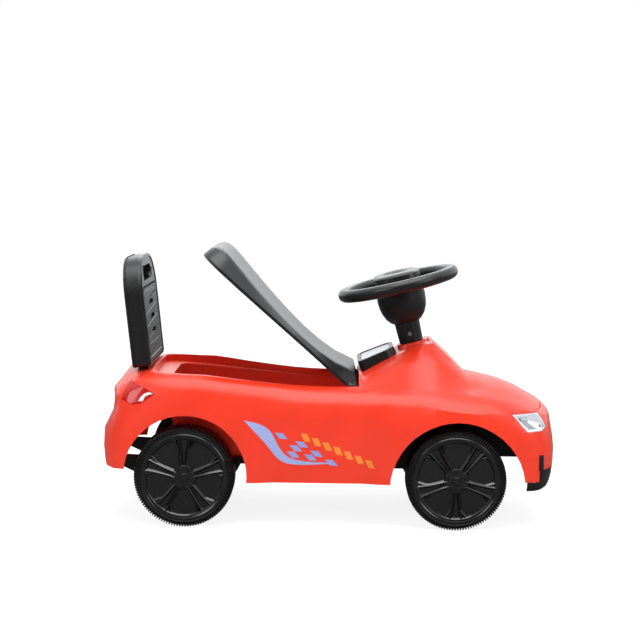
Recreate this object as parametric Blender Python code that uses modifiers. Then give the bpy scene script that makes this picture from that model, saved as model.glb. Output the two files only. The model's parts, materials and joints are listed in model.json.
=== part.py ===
"""Foot-to-floor ride-on car for a small child.

A moulded car body on four wheels, with a lidded storage tub under the seat,
a backrest with a hand hole, and a steering wheel whose rod turns the front
wheels through a tie rod.  Metres, +Z up, front at +X, the floor is z = 0 and
the middle plane is y = 0.  The seat lid is shown open and the wheels straight.
"""

from math import atan2, cos, hypot, pi, radians, sin, sqrt, tan

import bmesh
import bpy
from mathutils import Euler, Matrix, Vector

# Fits
FIT = 0.0003            # gap between two pieces that touch
RUN_FIT = 0.0004        # gap between a shaft and its bore
LINK_FIT = 0.0008       # play of the crank pin in the tie rod

# Body
BODY_LENGTH = 0.623
BODY_HALF_WIDTH = 0.127
SKIRT_Z = 0.0615
TAIL_SKIRT_Z = 0.078     # the skirt is cut higher behind the rear wheels
BELT_Z = 0.186
BODY_WALL = 0.003
SKIRT_TUCK = 0.004
FLARE_RISE = 0.0065
FLARE_LAND = 0.008
FLARE_FADE = 0.024
FRONT_CORNER = 0.0495
REAR_CORNER = 0.0465
CORNER_POWER = 2.8
SHOULDER_DROP = 0.045
END_SHOULDER_DROP = 0.030
BONNET_LIP = 0.0070     # the bonnet edge lies this far behind the nose
BOOT_LIP = 0.0140       # the boot edge lies this far ahead of the tail
NOSE = BODY_LENGTH / 2
TAIL = -BODY_LENGTH / 2

# Wheels and axles
WHEEL_RADIUS = 0.0675
WHEEL_WIDTH = 0.038
WHEEL_INNER_Y = 0.090
REAR_AXLE_X = TAIL + 0.1185
FRONT_AXLE_X = NOSE - 0.1400
AXLE_RADIUS = 0.004
TREAD_WALL = 0.0075
WEB_WALL = 0.003
TRIM_SEAT = 0.0045
HUB_RADIUS = 0.012
TRIM_RADIUS = 0.0585
TRIM_RIM = 0.0085
TRIM_DEPTH = 0.0036
TRIM_HUB = 0.0165
SPOKE_PAIRS = 5
SPOKE_WIDTH = 0.0062
HUB_CAP_RADIUS = 0.0155
HUB_CAP_RISE = 0.0030
WASHER_RADIUS = 0.0070
WASHER_THICK = 0.0012

# Wheel arches, as circles in side view
REAR_ARCH = (0.0015, 0.0020, 0.0825)    # ahead of the axle, above it, radius
FRONT_ARCH = (0.0020, -0.0110, 0.0905)

# Cockpit opening
OPEN_FRONT = NOSE - 0.2710
OPEN_REAR = TAIL + 0.0730
OPEN_CORNER = 0.030
RIM_LAND = 0.004
RIM_WALL = 0.003

# Seat lid
HINGE_X = OPEN_FRONT + 0.0035
HINGE_Z = 0.186
SEAT_OPEN = radians(41.8)
LEDGE_SLOPE = radians(5.0)
SEAT_HINGE_HEIGHT = 0.0130    # hinge above the lid's lower edge
SEAT_HINGE_AHEAD = 0.0191     # hinge ahead of the lower edge's front end
SEAT_END_GAP = 0.003979104      # behind the closed lid, along it
SEAT_LENGTH = ((HINGE_X - OPEN_REAR) / cos(LEDGE_SLOPE) - SEAT_HINGE_AHEAD
               - SEAT_END_GAP)
SEAT_SIDE_GAP = 0.002
SEAT_CORNER = 0.034
SEAT_WALL = 0.0028
SEAT_SKIRT = 0.004
SEAT_SLOPE_IN = 0.020
SEAT_REST_GAP = 0.0004
SEAT_DISH = 0.0012
LUG_RADIUS = 0.0055
LUG_WIDTH = 0.014
LUG_Y = 0.045
HINGE_ROD_RADIUS = 0.0025
HINGE_EAR_Y = 0.060
HINGE_EAR_WIDTH = 0.005

# Storage tub and chassis tray
TUB_HALF_WIDTH = 0.080
TUB_REAR = OPEN_REAR + 0.0200
TUB_FRONT = OPEN_FRONT - 0.0040
TUB_FLANGE_FRONT = OPEN_FRONT + 0.0135
TUB_FLOOR_Z = WHEEL_RADIUS + 0.0195    # the floor clears the rear axle
TUB_WALL = 0.0022
TUB_TAPER = 0.004
TUB_CORNER = 0.020
TRAY_WALL = 0.003
TRAY_HALF_WIDTH = 0.076
TRAY_RIB = 0.0045
TRAY_REAR = TUB_REAR - 0.0265
TRAY_FRONT = TUB_FRONT - 0.0005
RAIL_Y = 0.065
RAIL_WIDTH = 0.005

# Backrest
BACK_LEAN = radians(6.5)
BACK_X = TAIL + 0.0562
BACK_THICK = 0.0235
BACK_HEIGHT = 0.1485
BACK_HALF_WIDTH = 0.085
BACK_TAPER = 0.003
BACK_CORNER = 0.050
BACK_ROUND = 0.0045
BACK_RECESS = 0.0030
BACK_BORDER = 0.012
HAND_HOLE_WIDTH = 0.074
HAND_HOLE_HEIGHT = 0.020
HAND_HOLE_DOWN = 0.024
TONGUE_Y = 0.050
TONGUE_WIDTH = 0.030
TONGUE_THICK = 0.012
TONGUE_DEPTH = 0.009

# Steering
COLUMN_RAKE = radians(14.0)
WHEEL_CENTRE_X = NOSE - 0.2170
WHEEL_CENTRE_Z = 0.322
RING_RADIUS = 0.0770
RING_TUBE = 0.0084
COLUMN_RADIUS = 0.004
CRANK = 0.030
STEER_HUB_RADIUS = 0.034
STEER_HUB_DROP = 0.011
PAD_LENGTH = 0.068
PAD_WIDTH = 0.082
PAD_TOP = 0.0165
HORN_RADIUS = 0.0165
HORN_TRAVEL = 0.0015
BOWL_RADIUS = 0.0342
BOWL_BOTTOM = 0.0555
NECK_TOP_RADIUS = 0.0177
NECK_RADIUS = 0.0167
NECK_BOTTOM = 0.0842
BOSS_RADIUS = 0.0206
BUSH_RADIUS = 0.0095
KINGPIN_Y = 0.075
KINGPIN_RADIUS = 0.0035
KNUCKLE_RADIUS = 0.0085
KNUCKLE_HALF = 0.0150
EAR_RADIUS = 0.0110
EAR_THICK = 0.0040
TIE_Z = 0.0800
TIE_THICK = 0.0030
TIE_WIDTH = 0.012
TIE_PIN_RADIUS = 0.0030
SUBFRAME_HALF_WIDTH = 0.056
SUBFRAME_TOP = 0.150
SUBFRAME_BOTTOM = 0.0690
SUBFRAME_NOSE_Z = 0.0880      # underside ahead of the front axle
SUBFRAME_WALL = 0.003

# Instrument panel on the dash
GAUGE_X = NOSE - 0.2447
GAUGE_LIFT = 0.004788487   # middle of the housing above the dash
GAUGE_TILT = radians(23.0)
GAUGE_LENGTH = 0.054
GAUGE_WIDTH = 0.092
GAUGE_THICK = 0.018
GAUGE_BORDER = 0.0055
GAUGE_DISH = 0.0030

# Front end trim
BUMPER_TOP_Z = 0.083
BUMPER_BOTTOM_Z = 0.0545
BUMPER_BEHIND_NOSE = 0.0285
BUMPER_STRIP_Z = 0.067   # top of the strip that runs back to the wheel arch
BUMPER_STRIP_BACK = 0.0455
FOG_TOP_Z = 0.104
FOG_FRONT = 0.0230       # the fog slot's edges, behind the nose
FOG_REAR = 0.0300
GRILLE_HALF_WIDTH = 0.050
GRILLE_BOTTOM_Z = 0.0960
GRILLE_TOP_Z = 0.1300
GRILLE_BAR = 0.0028
GRILLE_BARS = 4


def smooth_curve(points, x):
    """Height at x on the smooth curve through the points, with no overshoot."""
    if x <= points[0][0]:
        return points[0][1]
    if x >= points[-1][0]:
        return points[-1][1]
    k = 0
    while x > points[k + 1][0]:
        k += 1

    def slope(i):
        return (points[i + 1][1] - points[i][1]) / (points[i + 1][0] - points[i][0])

    def tangent(i):
        if i == 0 or i == len(points) - 1:
            return slope(min(i, len(points) - 2))
        a, b = slope(i - 1), slope(i)
        return 0.0 if a * b <= 0 else 2 * a * b / (a + b)

    (x0, y0), (x1, y1) = points[k], points[k + 1]
    h = x1 - x0
    s = (x - x0) / h
    return ((1 + 2 * s) * (1 - s) ** 2 * y0 + s * (1 - s) ** 2 * h * tangent(k)
            + s * s * (3 - 2 * s) * y1 + s * s * (s - 1) * h * tangent(k + 1))


def blend_step(lo, hi, x):
    s = min(1.0, max(0.0, (x - lo) / (hi - lo)))
    return s * s * (3 - 2 * s)


# Styling curves of the body.  The boot is measured ahead of the tail, the
# bonnet behind the nose, and the cockpit between them along X.  Heights are
# above the belt line and insets are inside the door half width.
def along(boot, middle, bonnet):
    return ([(TAIL + d, v) for d, v in boot] + list(middle)
            + [(NOSE - d, v) for d, v in bonnet])


EDGE_RISE = along(
    [(BOOT_LIP, -0.008), (0.0435, 0.0095), (0.0715, 0.0195)],
    [(-0.200, 0.0175), (-0.175, 0.0170), (-0.120, 0.0101), (-0.040, 0.0017),
     (0.000, 0.0002)],
    [(0.2715, 0.0), (0.1715, 0.001), (0.1495, -0.0023), (0.1215, -0.0046), (0.094, -0.0083), (0.0667, -0.0148),
     (0.0395, -0.0226), (0.0191, -0.0285), (BONNET_LIP, -0.0335)])

CENTRE_RISE = along(
    [(BOOT_LIP, -0.008), (0.0255, 0.0070), (0.0355, 0.0185), (0.0565, 0.0220)],
    [(-0.200, 0.0205)],
    [(0.2815, 0.0150), (0.2615, 0.0165), (0.2415, 0.0290), (0.2215, 0.0395),
     (0.2065, 0.0460), (0.1915, 0.0535), (0.1775, 0.0595), (0.1705, 0.0580), (0.1635, 0.0535), (0.1565, 0.0475), (0.149, 0.0400),
     (0.1415, 0.0315), (0.1345, 0.0215), (0.1285, 0.0155), (0.1135, 0.0125),
     (0.0989, 0.0095), (0.0847, 0.0060), (0.0705, 0.0020), (0.0563, -0.0030),
     (0.0420, -0.0105), (0.0276, -0.0190), (0.0132, -0.0278),
     (BONNET_LIP, -0.0335)])

EDGE_INSET = along(
    [(0.0115, 0.032), (0.0615, 0.027)],
    [(-0.175, 0.0212), (-0.120, 0.0252), (-0.040, 0.0331)],
    [(0.2715, 0.035), (0.1515, 0.035), (0.0915, 0.037), (0.0315, 0.042), (BONNET_LIP, 0.045)])

# How far the front and rear faces lie inside the nose and the tail, by height
NOSE_INSET = [(SKIRT_Z, 0.0050), (0.080, 0.0010), (0.102, 0.0), (0.119, 0.0018),
              (0.136, 0.0040), (0.142, 0.0062), (0.147, 0.0058),
              (0.1525, BONNET_LIP)]
TAIL_INSET = [(SKIRT_Z, 0.0090), (0.071, 0.0030), (0.090, 0.0), (0.105, 0.0),
              (0.123, 0.0010), (0.1345, 0.0060), (0.146, 0.0115),
              (0.156, 0.0170), (0.163, 0.0160), (0.173, 0.0135),
              (0.178, BOOT_LIP)]


def edge_z(x):
    return BELT_Z + smooth_curve(EDGE_RISE, x)


def edge_half(x):
    return BODY_HALF_WIDTH - smooth_curve(EDGE_INSET, x)


def deck_z(x, y):
    """Height of the outer surface of the bonnet, cowl or boot."""
    t = min(1.0, abs(y) / edge_half(x))
    cowl = (blend_step(NOSE - 0.2915, NOSE - 0.2615, x)
            * (1 - blend_step(NOSE - 0.1415, NOSE - 0.1215, x)))
    crown = (1 - t * t) * (1 - cowl) + (1 - blend_step(0.55, 1.02, t)) * cowl
    rise = BELT_Z + smooth_curve(CENTRE_RISE, x) - edge_z(x)
    return edge_z(x) + rise * crown


def arch_circle(axle_x, arch):
    ahead, above, radius = arch
    return axle_x + ahead, WHEEL_RADIUS + above, radius


def flare(x, z):
    """How far the wheel-arch flares stand out of the door surface."""
    out = 0.0
    for axle_x, arch in ((REAR_AXLE_X, REAR_ARCH), (FRONT_AXLE_X, FRONT_ARCH)):
        cx, cz, radius = arch_circle(axle_x, arch)
        away = hypot(x - cx, z - cz) - radius - FLARE_LAND
        out = max(out, FLARE_RISE * (1 - blend_step(0.0, FLARE_FADE, away)))
    return out


def wall_half(x, z):
    tuck = SKIRT_TUCK * (1 - blend_step(SKIRT_Z, SKIRT_Z + 0.045, z))
    return BODY_HALF_WIDTH - tuck + flare(x, z)


def ledge_z(x):
    """Top of the tub's flange, on which the closed lid and the rim rest."""
    below = (SEAT_HINGE_HEIGHT + SEAT_REST_GAP) / cos(LEDGE_SLOPE)
    return HINGE_Z - below - tan(LEDGE_SLOPE) * (x - HINGE_X)


def column_point(q):
    """Point on the steering axis, q above the steering wheel's centre."""
    return Vector((WHEEL_CENTRE_X - q * sin(COLUMN_RAKE), 0.0,
                   WHEEL_CENTRE_Z + q * cos(COLUMN_RAKE)))


# Scene helpers
for old in list(bpy.data.objects):
    bpy.data.objects.remove(old, do_unlink=True)

car = bpy.data.collections.new("ride_on_car")
bpy.context.scene.collection.children.link(car)
tools = bpy.data.collections.new("cutters_and_guides")
bpy.context.scene.collection.children.link(tools)


def make_material(name, color, roughness, metallic=0.0):
    mat = bpy.data.materials.new(name)
    mat.use_nodes = True
    shader = mat.node_tree.nodes["Principled BSDF"]
    shader.inputs["Base Color"].default_value = (*color, 1.0)
    shader.inputs["Roughness"].default_value = roughness
    shader.inputs["Metallic"].default_value = metallic
    return mat


RED = make_material("red_plastic", (0.80, 0.035, 0.015), 0.35)
BLACK = make_material("black_plastic", (0.018, 0.018, 0.020), 0.50)
SATIN = make_material("satin_black_plastic", (0.030, 0.030, 0.033), 0.38)
TYRE = make_material("tyre_plastic", (0.020, 0.020, 0.022), 0.62)
TRIM = make_material("wheel_trim_plastic", (0.014, 0.014, 0.015), 0.28)
STEEL = make_material("steel", (0.55, 0.55, 0.56), 0.30, 1.0)
NYLON = make_material("nylon", (0.70, 0.70, 0.66), 0.45)
SILVER = make_material("silver_plastic", (0.55, 0.57, 0.58), 0.30, 0.4)
LENS = make_material("lamp_lens", (0.62, 0.66, 0.70), 0.12)
TAIL_LENS = make_material("tail_lens", (0.55, 0.01, 0.01), 0.12)


def add_object(name, mesh, material=None, guide=False):
    obj = bpy.data.objects.new(name, mesh)
    (tools if guide else car).objects.link(obj)
    if guide:
        obj.hide_render = True
        obj.display_type = "WIRE"
    if material is not None:
        mesh.materials.append(material)
    return obj


def mesh_from(name, verts, faces, weld=1e-6, recalc=True):
    """Mesh from a computed grid of points; doubled points are welded."""
    bm = bmesh.new()
    made = [bm.verts.new(v) for v in verts]
    for face in faces:
        bm.faces.new([made[i] for i in face])
    bmesh.ops.remove_doubles(bm, verts=bm.verts, dist=weld)
    bmesh.ops.dissolve_degenerate(bm, edges=bm.edges, dist=weld)
    if recalc:
        bmesh.ops.recalc_face_normals(bm, faces=bm.faces)
    mesh = bpy.data.meshes.new(name)
    bm.to_mesh(mesh)
    bm.free()
    return mesh


def smooth(mesh, angle=35.0):
    mesh.shade_smooth()
    mesh.set_sharp_from_angle(angle=radians(angle))
    return mesh


def triangulate(mesh):
    bm = bmesh.new()
    bm.from_mesh(mesh)
    bmesh.ops.triangulate(bm, faces=bm.faces)
    bm.to_mesh(mesh)
    bm.free()
    return mesh


def loft(name, rings, close_ring=True, cap=True, close_loft=False):
    """Skin through rings of equal point count."""
    n = len(rings[0])
    verts = [p for ring in rings for p in ring]
    faces = []
    count = len(rings)
    for i in range(count if close_loft else count - 1):
        a, b = i * n, ((i + 1) % count) * n
        for j in range(n if close_ring else n - 1):
            k = (j + 1) % n
            faces.append((a + j, a + k, b + k, b + j))
    if cap and close_ring and not close_loft:
        faces.append(tuple(range(n)))
        faces.append(tuple(range((count - 1) * n, count * n)))
    return mesh_from(name, verts, faces)


def box(name, lo, hi, material=None, guide=False, matrix=None):
    bm = bmesh.new()
    size = [h - l for l, h in zip(lo, hi)]
    mid = [(h + l) / 2 for l, h in zip(lo, hi)]
    bmesh.ops.create_cube(bm, size=1.0, matrix=Matrix.LocRotScale(mid, None, size))
    if matrix is not None:
        bmesh.ops.transform(bm, matrix=matrix, verts=bm.verts)
    mesh = bpy.data.meshes.new(name)
    bm.to_mesh(mesh)
    bm.free()
    return add_object(name, mesh, material, guide)


def rod(name, start, end, radius, material=None, guide=False, segments=24,
        end_radius=None):
    """Cylinder, or cone, from one point to another."""
    start, end = Vector(start), Vector(end)
    axis = end - start
    turn = axis.to_track_quat("Z", "Y").to_matrix().to_4x4()
    bm = bmesh.new()
    bmesh.ops.create_cone(
        bm, cap_ends=True, segments=segments, radius1=radius,
        radius2=radius if end_radius is None else end_radius,
        depth=axis.length,
        matrix=Matrix.Translation((start + end) / 2) @ turn)
    mesh = bpy.data.meshes.new(name)
    bm.to_mesh(mesh)
    bm.free()
    return add_object(name, smooth(mesh), material, guide)


def turned(name, profile, steps, material=None, guide=False, closed=True):
    """Solid of revolution about local Z from (radius, height) points that run
    down the outer side.  An open profile starts and ends on the axis."""
    mesh = bpy.data.meshes.new(name)
    edges = [(i, i + 1) for i in range(len(profile) - 1)]
    if closed:
        edges.append((len(profile) - 1, 0))
    mesh.from_pydata([(r, 0.0, z) for r, z in profile], edges, [])
    obj = add_object(name, mesh, material, guide)
    screw = obj.modifiers.new("Turn", "SCREW")
    screw.axis = "Z"
    screw.angle = 2 * pi
    screw.steps = steps
    screw.render_steps = steps
    screw.use_merge_vertices = True
    screw.merge_threshold = 0.00001
    screw.use_smooth_shade = True
    return obj


def outline_solid(name, loops, thickness, material=None, guide=False):
    """Flat plate from 2D outlines; later loops inside the first are holes."""
    data = bpy.data.curves.new(name, "CURVE")
    data.dimensions = "2D"
    data.fill_mode = "BOTH"
    data.extrude = thickness / 2
    for loop in loops:
        spline = data.splines.new("POLY")
        spline.points.add(len(loop) - 1)
        for point, (x, y) in zip(spline.points, loop):
            point.co = (x, y, 0.0, 1.0)
        spline.use_cyclic_u = True
    curve = bpy.data.objects.new(name + "_curve", data)
    bpy.context.scene.collection.objects.link(curve)
    graph = bpy.context.evaluated_depsgraph_get()
    mesh = bpy.data.meshes.new_from_object(curve.evaluated_get(graph))
    bpy.data.objects.remove(curve, do_unlink=True)
    bm = bmesh.new()
    bm.from_mesh(mesh)
    bmesh.ops.remove_doubles(bm, verts=bm.verts, dist=1e-6)
    bmesh.ops.recalc_face_normals(bm, faces=bm.faces)
    bm.to_mesh(mesh)
    bm.free()
    mesh.materials.clear()
    mesh.name = name
    return add_object(name, mesh, material, guide)


def tube_solid(name, points, radius, material=None, resolution=3, guide=False):
    """Round bar along a path, with filled ends."""
    data = bpy.data.curves.new(name, "CURVE")
    data.dimensions = "3D"
    data.bevel_depth = radius
    data.bevel_resolution = resolution
    data.use_fill_caps = True
    spline = data.splines.new("POLY")
    spline.points.add(len(points) - 1)
    for point, co in zip(spline.points, points):
        point.co = (*co, 1.0)
    curve = bpy.data.objects.new(name + "_curve", data)
    bpy.context.scene.collection.objects.link(curve)
    graph = bpy.context.evaluated_depsgraph_get()
    mesh = bpy.data.meshes.new_from_object(curve.evaluated_get(graph))
    bpy.data.objects.remove(curve, do_unlink=True)
    bm = bmesh.new()
    bm.from_mesh(mesh)
    bmesh.ops.remove_doubles(bm, verts=bm.verts, dist=1e-6)
    bmesh.ops.recalc_face_normals(bm, faces=bm.faces)
    bm.to_mesh(mesh)
    bm.free()
    mesh.materials.clear()
    mesh.name = name
    return add_object(name, smooth(mesh), material, guide)


def boolean(obj, tool, operation="DIFFERENCE"):
    mod = obj.modifiers.new(operation.title() + "_" + tool.name, "BOOLEAN")
    mod.solver = "EXACT"
    mod.operation = operation
    mod.object = tool
    return mod


def bevel(obj, width, segments=2, angle=40.0):
    mod = obj.modifiers.new("Bevel", "BEVEL")
    mod.width = width
    mod.segments = segments
    mod.limit_method = "ANGLE"
    mod.angle_limit = radians(angle)
    return mod


def place(obj, location, rotation=(0.0, 0.0, 0.0), parent=None):
    obj.location = location
    obj.rotation_euler = rotation
    if parent is not None:
        obj.parent = parent
    return obj


def set_origin(obj, point):
    """Move the object's origin to a world point; the shape stays put."""
    point = Vector(point)
    obj.data.transform(Matrix.Translation(obj.location - point))
    obj.location = point
    return obj


def round_corners(points, radius, steps=5):
    """Closed outline with its corners rounded; radius may be one per corner."""
    out = []
    n = len(points)
    for i in range(n):
        r = radius[i] if isinstance(radius, (list, tuple)) else radius
        p = Vector(points[i])
        a = (Vector(points[i - 1]) - p)
        b = (Vector(points[(i + 1) % n]) - p)
        if r <= 0:
            out.append(tuple(p))
            continue
        half = a.angle(b) / 2
        reach = r / tan(half)
        start = p + a.normalized() * reach
        mid = (a.normalized() + b.normalized()).normalized()
        centre = p + mid * (r / sin(half))
        first = start - centre
        sweep = pi - 2 * half
        sign = 1 if (-a).cross(b) > 0 else -1
        for k in range(steps + 1):
            turn = Matrix.Rotation(sign * sweep * k / steps, 2)
            out.append(tuple(centre + turn @ first))
    return out


# Body shell
FRONT_CORNER_X = NOSE - FRONT_CORNER
REAR_CORNER_X = TAIL + REAR_CORNER
WALL_STEPS = (0.0, 0.15, 0.42, 0.72, 1.0)
SHOULDER_STEPS = 3
CORNER_STEPS = 4
DECK_STEPS = 4
SIDE_STEPS = 22


def shoulder_drop(x):
    end = max(blend_step(NOSE - 0.1115, NOSE - 0.0515, x),
              blend_step(-0.1115 - TAIL, -0.0515 - TAIL, -x))
    return SHOULDER_DROP + (END_SHOULDER_DROP - SHOULDER_DROP) * end


def corner_parts(phi):
    power = 2 / CORNER_POWER
    return cos(phi) ** power if phi < pi / 2 else 0.0, sin(phi) ** power


def body_stations():
    """Stations from the tail round to the nose: (x of corner start, end, phi)."""
    steps = [pi / 2 * k / CORNER_STEPS for k in range(CORNER_STEPS + 1)]
    out = [("rear", phi) for phi in steps[:-1]]
    span = FRONT_CORNER_X - REAR_CORNER_X
    out += [("side", REAR_CORNER_X + span * k / SIDE_STEPS)
            for k in range(SIDE_STEPS + 1)]
    out += [("front", phi) for phi in reversed(steps[:-1])]
    return out


def plan_point(kind, value, z, half):
    """Plan position on one station's outline at height z."""
    if kind == "side":
        return value, half
    along_x, across = corner_parts(value)
    if kind == "front":
        face = NOSE - smooth_curve(NOSE_INSET, z)
        return FRONT_CORNER_X + (face - FRONT_CORNER_X) * along_x, half * across
    face = TAIL + smooth_curve(TAIL_INSET, z)
    return REAR_CORNER_X + (face - REAR_CORNER_X) * along_x, half * across


def end_wall_x(kind, z, y):
    """X of the front or rear face at height z, y away from the middle."""
    start, face = ((FRONT_CORNER_X, NOSE - smooth_curve(NOSE_INSET, z))
                   if kind == "front" else
                   (REAR_CORNER_X, TAIL + smooth_curve(TAIL_INSET, z)))
    share = min(1.0, abs(y) / wall_half(start, z)) ** CORNER_POWER
    return start + (face - start) * (1 - share) ** (1 / CORNER_POWER)


def body_column(kind, value):
    """Points up one station of the near side, skirt to middle of the deck."""
    start_x = {"side": value, "front": FRONT_CORNER_X, "rear": REAR_CORNER_X}[kind]
    top_x = {"side": value,
             "front": plan_point(kind, value, 1.0, 1.0)[0],
             "rear": plan_point(kind, value, 1.0, 1.0)[0]}[kind]
    top = edge_z(top_x)
    low = top - shoulder_drop(start_x)
    top_half = edge_half(start_x)
    points = []
    for g in WALL_STEPS:
        z = SKIRT_Z + (low - SKIRT_Z) * g
        points.append((*plan_point(kind, value, z, wall_half(start_x, z)), z))
    for k in range(1, SHOULDER_STEPS + 1):
        psi = pi / 2 * k / SHOULDER_STEPS
        z = low + (top - low) * sin(psi)
        half = top_half + (wall_half(start_x, low) - top_half) * cos(psi)
        points.append((*plan_point(kind, value, z, half), z))
    edge_x, edge_y = points[-1][0], points[-1][1]
    for k in range(1, DECK_STEPS + 1):
        y = edge_y * (1 - k / DECK_STEPS)
        t_y = y / max(edge_y, 1e-9) * edge_half(edge_x)
        points.append((edge_x, y, deck_z(edge_x, t_y)))
    return [(x, -y, z) for x, y, z in points]


def body_skin():
    columns = [body_column(kind, value) for kind, value in body_stations()]
    mesh = loft("body_skin", columns, close_ring=False, cap=False)
    bm = bmesh.new()
    bm.from_mesh(mesh)
    for vert in bm.verts:
        if abs(vert.co.y) < 1e-5:
            vert.co.y = 0.0
    bm.faces.ensure_lookup_table()
    up = max(bm.faces, key=lambda f: f.normal.z * (1 if f.normal.z > 0 else -1))
    if up.normal.z < 0:
        bmesh.ops.reverse_faces(bm, faces=bm.faces)
    bm.to_mesh(mesh)
    bm.free()
    return smooth(mesh, 32)


def shell_modifiers(obj):
    mirror = obj.modifiers.new("Mirror", "MIRROR")
    mirror.use_axis = (False, True, False)
    mirror.use_clip = True
    mirror.merge_threshold = 0.00001
    solid = obj.modifiers.new("Wall", "SOLIDIFY")
    solid.thickness = BODY_WALL
    solid.offset = -1.0
    solid.use_even_offset = False


skin = body_skin()
body = add_object("body_shell", skin, RED)
shell_modifiers(body)
guide = add_object("body_guide", skin.copy(), None, True)
shell_modifiers(guide)


def rim_outline(shift=0.0, front=OPEN_FRONT, rear=OPEN_REAR, steps=12):
    """Plan outline of the cockpit opening, near front to far front, grown
    outward by shift."""
    half = []
    start = rear + OPEN_CORNER

    def side(x):
        return edge_half(max(x, start)) - RIM_LAND

    for k in range(steps + 1):
        x = front + (start - front) * k / steps
        half.append((x, side(x) + shift))
    y0 = side(start)
    for k in range(1, 6):
        a = pi / 2 * k / 5
        half.append((start - (OPEN_CORNER + shift) * sin(a),
                     y0 - OPEN_CORNER + (OPEN_CORNER + shift) * cos(a)))
    near = [(x, -y) for x, y in half]
    far = [(x, y) for x, y in reversed(half)]
    return near + far


def rim_ring():
    """Return wall that runs down from the rim to the tub's flange."""
    inner = rim_outline(-0.0005)
    outer = rim_outline(RIM_WALL)
    rings = []
    for (xi, yi), (xo, yo) in zip(inner, outer):
        top = deck_z(xo, yo) - 0.0009
        top_in = deck_z(xi, yi) - 0.0009
        rings.append([(xi, yi, ledge_z(xi) + FIT), (xo, yo, ledge_z(xo) + FIT),
                      (xo, yo, top), (xi, yi, top_in)])
    return loft("rim_ring", rings)


rim = add_object("rim_ring", rim_ring(), None, True)
boolean(body, rim, "UNION")

# Collar round the steering column, faced off square to the column
boss_top = -(NECK_BOTTOM + FIT)
boss = rod("column_boss", column_point(boss_top - 0.022), column_point(boss_top),
           BOSS_RADIUS + 0.0025, None, True, 32, BOSS_RADIUS)
boolean(body, boss, "UNION")
boss_relief = rod("boss_relief", column_point(boss_top),
                  column_point(boss_top + 0.030), BOSS_RADIUS + 0.0006,
                  None, True, 32)
boolean(body, boss_relief)
bush_bore = rod("bush_bore", column_point(boss_top - 0.030),
                column_point(boss_top + 0.010), BUSH_RADIUS + FIT, None, True, 24)
boolean(body, bush_bore)


def prism_z(name, outline, lo, hi, guide=True):
    rings = [[(x, y, z) for x, y in outline] for z in (lo, hi)]
    return add_object(name, loft(name, rings), None, guide)


def prism_y(name, outline, lo, hi):
    rings = [[(x, y, z) for x, z in outline] for y in (lo, hi)]
    return add_object(name, loft(name, rings), None, True)


opening = prism_z("cockpit_opening", rim_outline(0.0), 0.10, 0.32)
boolean(body, opening)

for side_name, side in (("right", -1), ("left", 1)):
    for end, axle_x, arch in (("rear", REAR_AXLE_X, REAR_ARCH),
                              ("front", FRONT_AXLE_X, FRONT_ARCH)):
        cx, cz, radius = arch_circle(axle_x, arch)
        cutter = rod("arch_" + end + "_" + side_name,
                     (cx, side * (BODY_HALF_WIDTH - 0.045), cz),
                     (cx, side * (BODY_HALF_WIDTH + 0.030), cz),
                     radius, None, True, 44)
        boolean(body, cutter)


# Lamps and trim pieces fill openings of the body wall
def grown(outline, amount):
    """Outline moved outward by an amount, corner by corner."""
    area = sum(a[0] * b[1] - b[0] * a[1]
               for a, b in zip(outline, outline[1:] + outline[:1]))
    sign = 1 if area > 0 else -1
    out = []
    for i, p in enumerate(outline):
        a, b = outline[i - 1], outline[(i + 1) % len(outline)]
        d1 = Vector((p[0] - a[0], p[1] - a[1])).normalized()
        d2 = Vector((b[0] - p[0], b[1] - p[1])).normalized()
        n1 = Vector((d1.y, -d1.x)) * sign
        n2 = Vector((d2.y, -d2.x)) * sign
        mid = (n1 + n2).normalized()
        reach = amount / max(0.3, mid.dot(n1))
        out.append((p[0] + mid.x * reach, p[1] + mid.y * reach))
    return out


def wall_insert(name, make_prism, material):
    """Piece of the body wall in its own material, with a gap all round."""
    inner = make_prism(name + "_shape", 0.0)
    outer = make_prism(name + "_opening", FIT)
    boolean(body, outer)
    obj = add_object(name, inner.data.copy(), material)
    boolean(obj, guide, "INTERSECT")
    return obj


def from_nose(points):
    return [(NOSE - d, BELT_Z - h) for d, h in points]


def from_tail(points):
    return [(TAIL + d, BELT_Z - h) for d, h in points]


# Side-view outlines: distance from the nose or tail, distance below the belt
HEADLAMP = from_nose([(0.0675, 0.0285), (0.0310, 0.0280), (0.0262, 0.0345),
                      (0.0195, 0.0465), (0.0265, 0.0498), (0.0465, 0.0512),
                      (0.0545, 0.0430), (0.0605, 0.0355)])
FOG_SLOT = [(NOSE - FOG_REAR, BUMPER_TOP_Z + FIT), (NOSE - FOG_FRONT, BUMPER_TOP_Z + FIT),
            (NOSE - FOG_FRONT - 0.0012, FOG_TOP_Z), (NOSE - FOG_REAR, FOG_TOP_Z)]
TAIL_LAMP = from_tail([(0.0450, -0.0090), (0.0345, 0.0150), (0.0495, 0.0205),
                       (0.0600, 0.0190), (0.0800, 0.0065), (0.0655, -0.0010)])

for side_name, side in (("right", -1), ("left", 1)):
    inner_y = side * (BODY_HALF_WIDTH - 0.050)
    outer_y = side * (BODY_HALF_WIDTH + 0.015)

    def side_prism(outline):
        def make(name, grow):
            return prism_y(name, grown(outline, grow),
                           min(inner_y, outer_y), max(inner_y, outer_y))
        return make

    wall_insert("headlight_" + side_name, side_prism(HEADLAMP), LENS)
    wall_insert("taillight_" + side_name, side_prism(TAIL_LAMP), TAIL_LENS)

    wall_insert("fog_insert_" + side_name, side_prism(FOG_SLOT), BLACK)


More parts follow.
